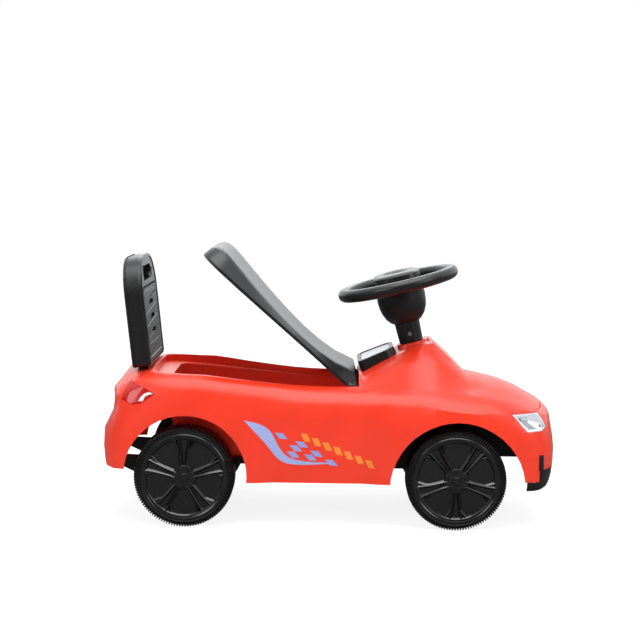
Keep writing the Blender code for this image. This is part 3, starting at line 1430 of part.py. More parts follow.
# Front subframe: an open-bottomed beam with the kingpin brackets
SUB_REAR = TUB_FRONT + TUB_WALL + 2 * FIT
rib_x = pin_x - COLUMN_RADIUS - LINK_FIT - 0.0095   # rib behind the tie rod's tab
SUB_FRONT = (end_wall_x("front", SUBFRAME_TOP, SUBFRAME_HALF_WIDTH)
             - 1.2 * BODY_WALL - 6 * FIT)
subframe = box("front_subframe",
               (SUB_REAR, -SUBFRAME_HALF_WIDTH, SUBFRAME_BOTTOM),
               (SUB_FRONT, SUBFRAME_HALF_WIDTH, SUBFRAME_TOP), BLACK)
bays = [(SUB_REAR + SUBFRAME_WALL, rib_x - SUBFRAME_WALL),
        (rib_x, FRONT_AXLE_X + 0.0135),
        (FRONT_AXLE_X + 0.0165, SUB_FRONT - SUBFRAME_WALL)]
for k, (x0, x1) in enumerate(bays):
    hollow = box("subframe_bay_%d" % k,
                 (x0, -SUBFRAME_HALF_WIDTH + SUBFRAME_WALL, SUBFRAME_BOTTOM - 0.01),
                 (x1, SUBFRAME_HALF_WIDTH - SUBFRAME_WALL,
                  SUBFRAME_TOP - SUBFRAME_WALL), None, True)
    boolean(subframe, hollow)
front_step = box("subframe_step",
                 (FRONT_AXLE_X + 0.0135 + SUBFRAME_WALL,
                  -SUBFRAME_HALF_WIDTH - 0.01, SUBFRAME_BOTTOM - 0.02),
                 (SUB_FRONT + 0.01, SUBFRAME_HALF_WIDTH + 0.01, SUBFRAME_NOSE_Z),
                 None, True)
boolean(subframe, front_step)
rod_hole = rod("subframe_rod_hole", column_point(-0.150), column_point(-0.200),
               COLUMN_RADIUS + RUN_FIT, None, True, 20)
boolean(subframe, rod_hole)
reach_slot = box("tie_rod_slot",
                 (FRONT_AXLE_X - CRANK - 0.012, -SUBFRAME_HALF_WIDTH - 0.01,
                  TIE_Z - 0.011),
                 (FRONT_AXLE_X - CRANK + 0.012, SUBFRAME_HALF_WIDTH + 0.01,
                  TIE_Z + 0.006), None, True)
boolean(subframe, reach_slot)
ear_gap = KNUCKLE_HALF + RUN_FIT
pin_top = WHEEL_RADIUS + ear_gap + EAR_THICK
pin_low = WHEEL_RADIUS - ear_gap - EAR_THICK
for side_name, side in (("right", -1), ("left", 1)):
    ys = sorted((side * (SUBFRAME_HALF_WIDTH - SUBFRAME_WALL + 0.0004),
                 side * (SUBFRAME_HALF_WIDTH - 0.0004)))
    plate = box("kingpin_plate_" + side_name,
                (FRONT_AXLE_X - EAR_RADIUS - 0.001, ys[0], pin_low + 0.0006),
                (FRONT_AXLE_X + EAR_RADIUS + 0.001, ys[1],
                 SUBFRAME_BOTTOM + 0.012), None, True)
    boolean(subframe, plate, "UNION")
    for level, low, high in (("upper", pin_top - EAR_THICK, pin_top),
                             ("lower", pin_low, pin_low + EAR_THICK)):
        outline = [(FRONT_AXLE_X + EAR_RADIUS, side * (SUBFRAME_HALF_WIDTH - 0.001))]
        for k in range(9):
            a = pi * k / 8
            outline.append((FRONT_AXLE_X + EAR_RADIUS * cos(a),
                            side * (KINGPIN_Y + EAR_RADIUS * sin(a))))
        outline.append((FRONT_AXLE_X - EAR_RADIUS,
                        side * (SUBFRAME_HALF_WIDTH - 0.001)))
        ear = prism_z("kingpin_ear_%s_%s" % (level, side_name), outline, low, high)
        boolean(subframe, ear, "UNION")
    pin_hole = rod("kingpin_hole_" + side_name,
                   (FRONT_AXLE_X, side * KINGPIN_Y, pin_low - 0.005),
                   (FRONT_AXLE_X, side * KINGPIN_Y, pin_top + 0.005),
                   KINGPIN_RADIUS + FIT, None, True, 12)
    boolean(subframe, pin_hole)
    pin_head = KINGPIN_RADIUS + 0.0022
    kingpin = turned("kingpin_" + side_name, [
        (0.0, pin_top + FIT + 0.002), (pin_head, pin_top + FIT + 0.002),
        (pin_head, pin_top + FIT), (KINGPIN_RADIUS, pin_top + FIT),
        (KINGPIN_RADIUS, pin_low - 0.0015), (0.0, pin_low - 0.0015)], 12, STEEL,
        closed=False)
    place(kingpin, (FRONT_AXLE_X, side * KINGPIN_Y, 0.0))

    # Knuckle: sleeve on the kingpin, stub axle outward, steering arm rearward
    def at(x, y, z):
        return (x, side * y, z)

    knuckle = rod("knuckle_" + side_name, at(0, 0, -KNUCKLE_HALF),
                  at(0, 0, KNUCKLE_HALF), KNUCKLE_RADIUS, BLACK, False, 14)
    place(knuckle, (FRONT_AXLE_X, side * KINGPIN_Y, WHEEL_RADIUS))
    stub_shape = [
        (0.0, axle_end), (AXLE_RADIUS, axle_end),
        (AXLE_RADIUS, washer_y + WASHER_THICK),
        (WASHER_RADIUS, washer_y + WASHER_THICK), (WASHER_RADIUS, washer_y),
        (AXLE_RADIUS, washer_y), (AXLE_RADIUS, WHEEL_INNER_Y - FIT),
        (WASHER_RADIUS, WHEEL_INNER_Y - FIT), (WASHER_RADIUS, KINGPIN_Y + 0.004),
        (0.0, KINGPIN_Y + 0.004)]
    stub = turned("stub_shape_" + side_name, stub_shape, 12, None, True, False)
    place(stub, (FRONT_AXLE_X, 0.0, WHEEL_RADIUS), (-side * pi / 2, 0.0, 0.0))
    boolean(knuckle, stub, "UNION")
    arm_top = TIE_Z - TIE_THICK / 2 - FIT
    ys = sorted((side * (KINGPIN_Y - 0.0055), side * (KINGPIN_Y + 0.0055)))
    arm = box("steer_arm_" + side_name, (FRONT_AXLE_X - CRANK, ys[0],
                                         arm_top - 0.005),
              (FRONT_AXLE_X - 0.003, ys[1], arm_top), None, True)
    arm_end = rod("steer_arm_end_" + side_name,
                  (FRONT_AXLE_X - CRANK, side * KINGPIN_Y, arm_top - 0.005),
                  (FRONT_AXLE_X - CRANK, side * KINGPIN_Y, arm_top), 0.0055,
                  None, True, 12)
    arm_pin = rod("steer_arm_pin_" + side_name,
                  (FRONT_AXLE_X - CRANK, side * KINGPIN_Y, arm_top - 0.002),
                  (FRONT_AXLE_X - CRANK, side * KINGPIN_Y,
                   TIE_Z + TIE_THICK / 2 + 0.002), TIE_PIN_RADIUS, None, True, 10)
    for tool in (arm, arm_end, arm_pin):
        boolean(knuckle, tool, "UNION")
    sleeve_bore = rod("knuckle_bore_" + side_name,
                      (FRONT_AXLE_X, side * KINGPIN_Y, pin_low),
                      (FRONT_AXLE_X, side * KINGPIN_Y, pin_top),
                      KINGPIN_RADIUS + RUN_FIT, None, True, 12)
    boolean(knuckle, sleeve_bore)

# Tie rod: a flat bar on the two arm pins, with a tab for the crank pin
tie_x = FRONT_AXLE_X - CRANK
tab = pin_x - tie_x - COLUMN_RADIUS - LINK_FIT - 0.0035
end_y = KINGPIN_Y + 0.0065
half_w = TIE_WIDTH / 2
tie_outline = round_corners(
    [(half_w, -end_y), (half_w, end_y), (-half_w, end_y), (-half_w, 0.016),
     (tab, 0.009), (tab, -0.009), (-half_w, -0.016), (-half_w, -end_y)],
    [0.0055, 0.0055, 0.0055, 0.004, 0.005, 0.005, 0.004, 0.0055], 3)
tie_loops = [tie_outline, circle(TIE_PIN_RADIUS + RUN_FIT, 12, 0.0, -KINGPIN_Y),
             circle(TIE_PIN_RADIUS + RUN_FIT, 12, 0.0, KINGPIN_Y),
             circle(COLUMN_RADIUS + LINK_FIT, 16, pin_x - tie_x, 0.0)]
tie_rod = outline_solid("tie_rod", tie_loops, TIE_THICK, STEEL)
place(tie_rod, (tie_x, 0.0, TIE_Z))
set_origin(tie_rod, (tie_x, KINGPIN_Y, TIE_Z))
bpy.context.view_layer.update()
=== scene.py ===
"""Finishes and fine detail for a foot-to-floor ride-on car.

Every piece is modelled round the car's CAD frame and rides on its bodies.
"""

import json
from math import cos, pi, radians, sin

import bpy
from bpy.props import (FloatProperty, FloatVectorProperty, IntProperty,
                       PointerProperty, StringProperty)
from mathutils import Matrix, Vector


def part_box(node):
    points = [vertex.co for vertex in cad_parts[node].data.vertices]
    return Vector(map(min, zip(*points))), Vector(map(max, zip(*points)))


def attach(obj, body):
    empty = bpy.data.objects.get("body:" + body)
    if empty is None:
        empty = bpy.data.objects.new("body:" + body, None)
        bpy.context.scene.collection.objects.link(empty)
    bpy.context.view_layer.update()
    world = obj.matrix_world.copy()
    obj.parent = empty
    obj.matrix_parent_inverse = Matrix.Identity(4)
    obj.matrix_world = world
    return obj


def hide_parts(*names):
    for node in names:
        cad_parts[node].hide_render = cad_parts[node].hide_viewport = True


bl_info = {
    "name": "Ride-on car finishes",
    "version": (1, 0, 0),
    "blender": (4, 5, 0),
    "location": "View3D > Sidebar > Ride-on car",
    "description": "Mouldings, wheels, lamps and stickers of a ride-on car",
    "category": "Object",
}

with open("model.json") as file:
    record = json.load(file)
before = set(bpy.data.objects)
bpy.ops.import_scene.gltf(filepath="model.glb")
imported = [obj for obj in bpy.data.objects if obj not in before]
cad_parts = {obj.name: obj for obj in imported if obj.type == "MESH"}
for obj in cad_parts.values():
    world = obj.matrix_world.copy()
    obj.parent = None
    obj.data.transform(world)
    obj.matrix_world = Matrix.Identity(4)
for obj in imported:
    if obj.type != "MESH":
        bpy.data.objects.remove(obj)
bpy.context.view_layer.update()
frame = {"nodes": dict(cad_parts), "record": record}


# ---------------------------------------------------------------- settings

class BodySettings(bpy.types.PropertyGroup):
    colour: StringProperty(
        name="Body colour", description="sRGB hex of the red moulding",
        default="#F2391F")
    weld: FloatProperty(
        name="Weld distance", description="Points this close become one",
        default=0.00001, unit="LENGTH")
    smooth_angle: FloatProperty(
        name="Smooth angle", description="Faces under this angle shade as one",
        default=radians(32), subtype="ANGLE")


class WheelSettings(bpy.types.PropertyGroup):
    radius: FloatProperty(
        name="Radius", description="Radius over the tread ribs",
        default=0.0675, unit="LENGTH")
    width: FloatProperty(
        name="Width", description="Width of the wheel",
        default=0.038, unit="LENGTH")
    steps: IntProperty(
        name="Steps", description="Facets round the wheel",
        default=112, min=24)
    spoke_pairs: IntProperty(
        name="Spoke pairs", description="Pairs of spokes in the trim",
        default=5, min=3)
    teeth: IntProperty(
        name="Tread teeth", description="Fine ribs moulded round the tread",
        default=115, min=20)
    tooth_depth: FloatProperty(
        name="Tooth depth", description="Height of a tread rib",
        default=0.0009, unit="LENGTH")
    black: StringProperty(
        name="Wheel colour", description="sRGB hex of the wheel moulding",
        default="#0F0F10")


class TrimSettings(bpy.types.PropertyGroup):
    black: StringProperty(
        name="Trim colour", description="sRGB hex of the black mouldings",
        default="#161617")
    silver: StringProperty(
        name="Dial colour", description="sRGB hex of the dial plate",
        default="#C3C5C7")
    blue: StringProperty(
        name="Sticker blue", description="sRGB hex of the sticker's sweep",
        default="#9FAEE2")
    orange: StringProperty(
        name="Sticker orange", description="sRGB hex of the sticker's stripes",
        default="#F98A2E")


class StageSettings(bpy.types.PropertyGroup):
    camera_place: FloatVectorProperty(
        name="Camera", description="Where the camera stands",
        default=(0.0, -2.055, 0.482), subtype="TRANSLATION", unit="LENGTH")
    camera_yaw: FloatProperty(
        name="Yaw", description="Turn to the right from looking along +Y",
        default=radians(-0.40), subtype="ANGLE")
    camera_pitch: FloatProperty(
        name="Pitch", description="Tilt below the horizon",
        default=radians(5.93), subtype="ANGLE")
    camera_roll: FloatProperty(
        name="Roll", description="Turn about the line of sight",
        default=radians(0.74), subtype="ANGLE")
    lens: FloatProperty(
        name="Lens", description="Focal length on a 36 mm wide sensor",
        default=82.5, unit="CAMERA")


# ---------------------------------------------------------------- measures

SIDES = ((-1, "right"), (1, "left"))    # along Y

FLAT_ANGLE = radians(0.4)   # faces nearer to one plane than this are merged
EDGE_ANGLE = radians(38)    # edges sharper than this are rounded

# The sweep's paper and the room round it
PAPER_GLOW = 0.86           # what the camera sees of the paper without light
PAPER_CATCH = 0.34          # and how much light and shade shows on it
ROOM_LIGHT = 0.42           # strength of the room's even light
SWEEP_GLEAM = (0.10, 1.25)  # its strength in reflections, in front and behind
SWEEP_REACH = (-0.05, 0.55)     # where that rises, along SWEEP_WAY
SWEEP_WAY = (0.0, 0.62, 0.78)   # towards the sweep's brightest part

# A lamp's name, place, the point it is aimed at, its size and its power
LAMPS = [
    ("lamp_overhead", (0.1, -0.5, 2.2), (0.0, 0.0, 0.1), 1.8, 34.0),
    ("lamp_front_left", (-1.6, -1.9, 1.3), (0.0, 0.0, 0.15), 1.2, 14.0),
    ("lamp_front_right", (1.9, -1.5, 1.2), (0.1, 0.0, 0.15), 1.1, 12.0),
    ("lamp_back", (0.0, 2.0, 1.6), (0.0, 0.0, 0.15), 1.4, 14.0),
]

# The bonnet's shut line: half-round, round the nose from lamp to lamp
SHUT_HEIGHT = 0.1592
SHUT_MIDDLE = 0.2           # X of the point it turns about
SHUT_REACH = radians(54)
SHUT_STEPS = 24             # on either side
SHUT_RADIUS = 0.0007

FOG_RIBS = 7
FOG_MARGIN = 0.0015         # from the insert's ends to the ribs' ends
FOG_RIB_RADIUS = 0.0006

STICKER_REACH = 0.16        # prints start this far out, laid on the wall
STICKER_PROUD = 0.0003      # height of a print's face over the wall
STICKER_CELL = 0.008        # it is cut into cells to follow the wall's curve
LAMP_CELL = 0.006           # and finer on a lamp

# The side print: a sweep from the seat to the door, a chequer below it and
# orange slashes above (X and Z on the side wall)
SWEEP_TOP = [(-0.1130, 0.1465), (-0.0808, 0.1348), (-0.0525, 0.0965),
             (0.0117, 0.0894)]
SWEEP_FOOT = [(0.0117, 0.0894), (-0.0556, 0.0884), (-0.0853, 0.1167),
              (-0.1130, 0.1465)]
CHEQUER_ROWS = [((-0.0720, 0.1300), 1), ((-0.0444, 0.1187), 3),
                ((-0.0523, 0.1134), 2), ((-0.0556, 0.1048), 1)]
CHEQUER_STEP = (0.0199, -0.0122)
CHEQUER_TILE = [(0.0, 0.0), (0.0105, -0.0005), (0.0175, -0.0085),
                (0.0070, -0.0080)]
SLASHES = 7
SLASH_FIRST = (-0.0370, 0.1295)
SLASH_STEP = (0.0143, -0.0058)
SLASH_SHAPE = [(0.0, 0.0), (0.0085, -0.0006), (0.0135, -0.0115),
               (0.0050, -0.0109)]

# Lamp details (X and Z on the side wall)
HEADLAMP_EDGE = [(0.2466, 0.1562), (0.2548, 0.1473), (0.2655, 0.1364),
                 (0.2840, 0.1376), (0.2895, 0.1403), (0.2862, 0.1470),
                 (0.2828, 0.1526), (0.2792, 0.1565), (0.2620, 0.1564)]
HEADLAMP_BEAD = 0.0008      # radius of the bright bead along that edge
REFLECTOR = [(0.2505, 0.1540), (0.2640, 0.1543), (0.2655, 0.1470),
             (0.2740, 0.1412), (0.2790, 0.1392), (0.2670, 0.1384),
             (0.2590, 0.1458)]
HEADLAMP_BOLTS = [(0.2545, 0.1520), (0.2820, 0.1430)]
HEADLAMP_BOLT_RADIUS = 0.0018
# The tail lamp's painted highlight: a white crescent where the glossy lamp
# catches the light
TAIL_HIGHLIGHT_CRESCENT = [(-0.2540, 0.1700), (-0.2510, 0.1755), (-0.2460, 0.1800),
            (-0.2400, 0.1820), (-0.2345, 0.1800), (-0.2400, 0.1785),
            (-0.2452, 0.1760), (-0.2478, 0.1700)]

# Grooves in the backrest's panel
PANEL_GROOVE = 0.0009       # radius
PANEL_MARGIN = 0.0040       # from the panel's edge to the outline
PANEL_CORNER = 0.010        # cut off the outline's corners
SLOPE_LEVELS = (0.62, 0.20, -0.22, -0.64)   # in halves of the panel's height
SLOPE_MARGIN = 0.009        # from the panel's sides to a slope's ends
SLOPE_ENDS = (-0.0030, 0.0060)  # heights of a slope's ends over its level

DIAL_GAP = 0.0001           # the dial's faces lie this far inside their CAD

GRIP_RING = 0.0770          # middle of the steering ring's tube
GRIP_TUBE = 0.0088          # radius of that tube

# The wheels, about local Z from the inner face
WINDOW_DEPTH = 0.0045       # from the outer face to the floor behind spokes
RIM_RADIUS = 0.0590         # inside of the tyre's outer face
TOOTH_ROOT = 0.0062         # height of a tread rib with its root in the drum
TOOTH_WIDTH = 0.0018
TOOTH_OVERHANG = 0.0002     # of the ribs' length over the wheel's width
TOOTH_CHAMFER = 0.0032
HUB_RISE = 0.0006           # of the hub over the wheel's outer face
LUG_CIRCLE = 0.0124
LUG_RADIUS = 0.0024
LUG_DEPTH = 0.0015
BOLT_RADIUS = 0.0011
BOLT_SUNK = 0.0013          # middle of a bolt's head under the hub's face

# Middle line of a spoke and of the fork at its outer end: along the spoke,
# off the pair's middle, above the wheel's floor, half thickness
SPOKE_PATH = [
    (0.0120, 0.0034, 0.0024, 0.0030), (0.0200, 0.0038, 0.0026, 0.0028),
    (0.0300, 0.0045, 0.0023, 0.0027), (0.0390, 0.0055, 0.0018, 0.0027),
    (0.0460, 0.0066, 0.0012, 0.0028), (0.0520, 0.0078, 0.0006, 0.0030)]
FORK_PATH = [
    (0.0380, 0.0060, 0.0014, 0.0018), (0.0430, 0.0084, 0.0011, 0.0022),
    (0.0475, 0.0114, 0.0008, 0.0024), (0.0510, 0.0140, 0.0004, 0.0024)]


# ---------------------------------------------------------------- handwork

def deselect():
    if bpy.context.mode != "OBJECT":
        bpy.ops.object.mode_set(mode="OBJECT")
    bpy.ops.object.select_all(action="DESELECT")


def pick(piece):
    deselect()
    piece.select_set(True)
    bpy.context.view_layer.objects.active = piece
    return piece


def editing(piece):
    pick(piece)
    bpy.ops.object.mode_set(mode="EDIT")
    bpy.ops.mesh.select_all(action="SELECT")


def done():
    bpy.ops.object.mode_set(mode="OBJECT")


def body_holding(node):
    for body, nodes in frame["record"]["behaviour"]["bodies"].items():
        if node in nodes:
            return body
    raise ValueError("no body holds " + node)


def modify(piece, kind, **settings):
    """Adds a modifier as from the menu, sets it and applies it."""
    pick(piece)
    bpy.ops.object.modifier_add(type=kind)
    modifier = piece.modifiers[-1]
    for key, value in settings.items():
        setattr(modifier, key, value)
    bpy.ops.object.modifier_apply(modifier=modifier.name)
    return piece


def freeze(piece):
    """Leaves the piece at the origin with its place in its mesh."""
    pick(piece)
    bpy.ops.object.transform_apply(location=True, rotation=True, scale=True)
    return piece


def wear(piece, finish):
    piece.data.materials.clear()
    piece.data.materials.append(finish)
    return piece


def shade(piece, angle):
    pick(piece)
    bpy.ops.object.shade_smooth_by_angle(angle=angle)
    return piece


def place_on(piece, body):
    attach(piece, body)
    return piece


def moulding(node, finish, bevel=0.0, segments=2, clamp=True):
    """A merged and smooth-shaded copy of a CAD node, which stands for it."""
    settings = bpy.context.scene.ride_body
    piece = bpy.data.objects.new(node + "_skin",
                                 frame["nodes"][node].data.copy())
    bpy.context.scene.collection.objects.link(piece)
    editing(piece)
    bpy.ops.mesh.remove_doubles(threshold=settings.weld)
    bpy.ops.mesh.dissolve_limited(angle_limit=FLAT_ANGLE)
    done()
    wear(piece, finish)
    if bevel:
        modify(piece, "BEVEL", width=bevel, segments=segments,
               limit_method="ANGLE", angle_limit=EDGE_ANGLE,
               use_clamp_overlap=clamp)
    shade(piece, settings.smooth_angle)
    modify(piece, "WEIGHTED_NORMAL", keep_sharp=True)
    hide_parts(node)
    return place_on(piece, body_holding(node))


def primitive(kind, name, **settings):
    """A mesh primitive added at its size and place, and named."""
    deselect()
    getattr(bpy.ops.mesh, "primitive_%s_add" % kind)(**settings)
    piece = bpy.context.object
    piece.name = name
    return freeze(piece)


def outward(piece):
    """Turns every face of a piece to its outside."""
    editing(piece)
    bpy.ops.mesh.normals_make_consistent(inside=False)
    done()
    return piece


def lathe(name, profile, steps):
    """Turned about local Z: a circle extruded from station to station."""
    (radius, height), *rest = profile
    piece = primitive("circle", name, vertices=steps, radius=radius,
                      location=(0.0, 0.0, height))
    editing(piece)
    for wide, high in rest:
        bpy.ops.mesh.extrude_edges_move(
            TRANSFORM_OT_translate={"value": (0.0, 0.0, high - height)})
        if wide:
            bpy.ops.transform.resize(value=(wide / radius, wide / radius, 1.0),
                                     center_override=(0.0, 0.0, high))
        else:
            bpy.ops.mesh.merge(type="CENTER")
        radius, height = wide, high
    bpy.ops.mesh.select_all(action="SELECT")
    bpy.ops.mesh.remove_doubles(threshold=0.000005)
    done()
    return outward(piece)


def tube(name, lines, sides=1, closed=False):
    """Round or ridged bars along lines of (x, y, z, radius)."""
    curve = bpy.data.curves.new(name, "CURVE")
    curve.dimensions = "3D"
    curve.bevel_depth = 1.0
    curve.bevel_resolution = sides - 1
    curve.use_fill_caps = True
    for points in lines:
        spline = curve.splines.new("POLY")
        spline.points.add(len(points) - 1)
        spline.use_cyclic_u = closed
        for point, (x, y, z, radius) in zip(spline.points, points):
            point.co, point.radius = (x, y, z, 1.0), radius
    return as_mesh(name, curve)


def as_mesh(name, curve):
    """A piece made from a curve."""
    piece = bpy.data.objects.new(name, curve)
    bpy.context.scene.collection.objects.link(piece)
    pick(piece)
    bpy.ops.object.convert(target="MESH")
    return bpy.context.object


def flat(name, loops):
    """Flat faces in the XY plane from closed outlines, holes included."""
    curve = bpy.data.curves.new(name, "CURVE")
    curve.dimensions = "2D"
    curve.fill_mode = "BOTH"
    for points in loops:
        spline = curve.splines.new("POLY")
        spline.points.add(len(points) - 1)
        spline.use_cyclic_u = True
        for point, (x, y) in zip(spline.points, points):
            point.co = (x, y, 0.0, 1.0)
    return as_mesh(name, curve)


def sliced(piece, pitch):
    """Cuts a flat piece into cells so that it can follow a curved wall."""
    low = [min(v.co[i] for v in piece.data.vertices) for i in (0, 2)]
    high = [max(v.co[i] for v in piece.data.vertices) for i in (0, 2)]
    for axis, lo, hi in zip((0, 2), low, high):
        for k in range(1, int((hi - lo) / pitch) + 1):
            editing(piece)
            spot = [0.0, 0.0, 0.0]
            normal = [0.0, 0.0, 0.0]
            spot[axis], normal[axis] = lo + k * pitch, 1.0
            bpy.ops.mesh.bisect(plane_co=spot, plane_no=normal)
            done()
    return piece


def sticker(name, loops, side, finish, wall, pitch=STICKER_CELL):
    """A thin print laid on a side wall, from outlines in X and Z."""
    piece = flat(name, loops)
    piece.rotation_euler = (pi / 2, 0.0, 0.0)
    piece.location = (0.0, side * STICKER_REACH, 0.0)
    freeze(piece)
    sliced(piece, pitch)
    modify(piece, "SHRINKWRAP", target=wall, wrap_method="PROJECT",
           use_project_y=True, use_negative_direction=side > 0,
           use_positive_direction=side < 0, offset=STICKER_PROUD)
    editing(piece)
    bpy.ops.mesh.remove_doubles(threshold=bpy.context.scene.ride_body.weld)
    if side > 0:
        bpy.ops.mesh.flip_normals()
    done()
    # A little thinner than it stands proud, so that its back clears the wall
    modify(piece, "SOLIDIFY", thickness=STICKER_PROUD * 0.8, offset=-1.0)
    wear(piece, finish)
    shade(piece, radians(50))
    return place_on(piece, "car_body")


def laid(wall, points, side, radius):
    """A line in X and Z laid on a side wall, as points for a bar."""
    out = []
    for x, z in points:
        hit, where, _, _ = wall.ray_cast(
            (x, side * STICKER_REACH, z), (0.0, -side, 0.0))
        if not hit:
            raise ValueError("no wall at x %.3f, z %.3f" % (x, z))
        out.append((*where, radius))
    return out


def cut_out(piece, cutter):
    """Takes the cutter's shape out of a piece and removes the cutter."""
    modify(piece, "BOOLEAN", object=cutter, operation="DIFFERENCE",
           solver="EXACT")
    bpy.data.objects.remove(cutter)
    return piece


def grooved(wall, lines, closed=False):
    """Cuts half-round grooves into a wall along bars."""
    cutter = tube("groove_cutter", lines, sides=2, closed=closed)
    return cut_out(wall, outward(cutter))


def between(start, end, steps):
    """Evenly spaced points from start to end, both included."""
    return [tuple(a + (b - a) * k / steps for a, b in zip(start, end))
            for k in range(steps + 1)]


def bent(points, steps=6):
    """Points of a smooth line through the given ones."""
    out = []
    ends = [points[0]] + list(points) + [points[-1]]
    for a, b, c, d in zip(ends, ends[1:], ends[2:], ends[3:]):
        for k in range(steps):
            t = k / steps
            out.append(tuple(
                0.5 * (2 * q + t * (r - p)
                       + t * t * (2 * p - 5 * q + 4 * r - s)
                       + t ** 3 * (3 * q - p - 3 * r + s))
                for p, q, r, s in zip(a, b, c, d)))
    return out + [tuple(points[-1])]


def copied(piece, name, where):
    """A copy of a modelled piece, with its own mesh, moved to its place."""
    made = bpy.data.objects.new(name, piece.data.copy())
    bpy.context.scene.collection.objects.link(made)
    made.matrix_world = where
    return freeze(made)


def joined(pieces):
    """One piece from many: the first, which keeps its name."""
    deselect()
    for piece in pieces:
        piece.select_set(True)
    bpy.context.view_layer.objects.active = pieces[0]
    bpy.ops.object.join()
    return pieces[0]


def moved(shape, place):
    """An outline moved by (x, z)."""
    return [(x + place[0], z + place[1]) for x, z in shape]


# ---------------------------------------------------------------- finishes

def linear(colour):
    """sRGB hex to linear RGBA."""
    out = []
    for k in (1, 3, 5):
        c = int(colour[k:k + 2], 16) / 255
        out.append(c / 12.92 if c <= 0.04045 else ((c + 0.055) / 1.055) ** 2.4)
    return (*out, 1.0)


def add(tree, kind, settings=(), links=()):
    """A node with its properties or sockets set and its inputs linked."""
    made = tree.nodes.new(kind)
    for key, value in dict(settings).items():
        if isinstance(key, str) and hasattr(made, key):
            setattr(made, key, value)
        else:
            made.inputs[key].default_value = value
    for socket, source in dict(links).items():
        tree.links.new(source, made.inputs[socket])
    return made


def new_finish(name):
    finish = bpy.data.materials.new(name)
    finish.use_nodes = True
    tree = finish.node_tree
    return finish, tree, tree.nodes["Principled BSDF"]


TINT_DRIFT = 0.04   # how far a moulding's tint strays


def moulded(name, colour, roughness, grain, depth, coat=0.0, specular=0.5,
            metallic=0.0):
    """Injection or blow moulded plastic, or a film printed on it.

    grain is the width of the mould's texture and depth its height, in mm. The
    tint drifts a little over some 40 mm, as pigment does in a moulding.
    """
    finish, tree, shader = new_finish(name)
    at = add(tree, "ShaderNodeTexCoord").outputs["Object"]
    pale = linear(colour)
    tint = add(tree, "ShaderNodeTexNoise",
               {"Scale": 25.0, "Detail": 2.0}, {"Vector": at})
    shades = add(tree, "ShaderNodeValToRGB",
                 links={"Fac": tint.outputs["Fac"]})
    low, high = shades.color_ramp.elements
    low.position, high.position = 0.3, 0.7
    low.color = (*(c * (1 - TINT_DRIFT) for c in pale[:3]), 1.0)
    high.color = (*(min(1.0, c * (1 + TINT_DRIFT)) for c in pale[:3]), 1.0)
    tree.links.new(shades.outputs["Color"], shader.inputs["Base Color"])
    rub = add(tree, "ShaderNodeTexNoise",
              {"Scale": 180.0, "Detail": 3.0}, {"Vector": at})
    rough = add(tree, "ShaderNodeMapRange",
                {"To Min": roughness - 0.05, "To Max": roughness + 0.05},
                {"Value": rub.outputs["Fac"]})
    tree.links.new(rough.outputs["Result"], shader.inputs["Roughness"])
    fine = add(tree, "ShaderNodeTexNoise",
               {"Scale": 1000.0 / grain, "Detail": 2.0, "Roughness": 0.6},
               {"Vector": at})
    bump = add(tree, "ShaderNodeBump",
               {"Strength": 1.0, "Distance": depth / 1000.0},
               {"Height": fine.outputs["Fac"]})
    tree.links.new(bump.outputs["Normal"], shader.inputs["Normal"])
    shader.inputs["Metallic"].default_value = metallic
    shader.inputs["Specular IOR Level"].default_value = specular
    shader.inputs["Coat Weight"].default_value = coat
    shader.inputs["Coat Roughness"].default_value = 0.12
    return finish


def drawn_steel(name):
    """Zinc-plated drawn steel: bright, with a fine uneven sheen."""
    finish, tree, shader = new_finish(name)
    at = add(tree, "ShaderNodeTexCoord").outputs["Object"]
    lines = add(tree, "ShaderNodeTexNoise",
                {"Scale": 900.0, "Detail": 2.0}, {"Vector": at})
    rough = add(tree, "ShaderNodeMapRange", {"To Min": 0.22, "To Max": 0.40},
                {"Value": lines.outputs["Fac"]})
    tree.links.new(rough.outputs["Result"], shader.inputs["Roughness"])
    shader.inputs["Base Color"].default_value = linear("#B9BABC")
    shader.inputs["Metallic"].default_value = 1.0
    return finish


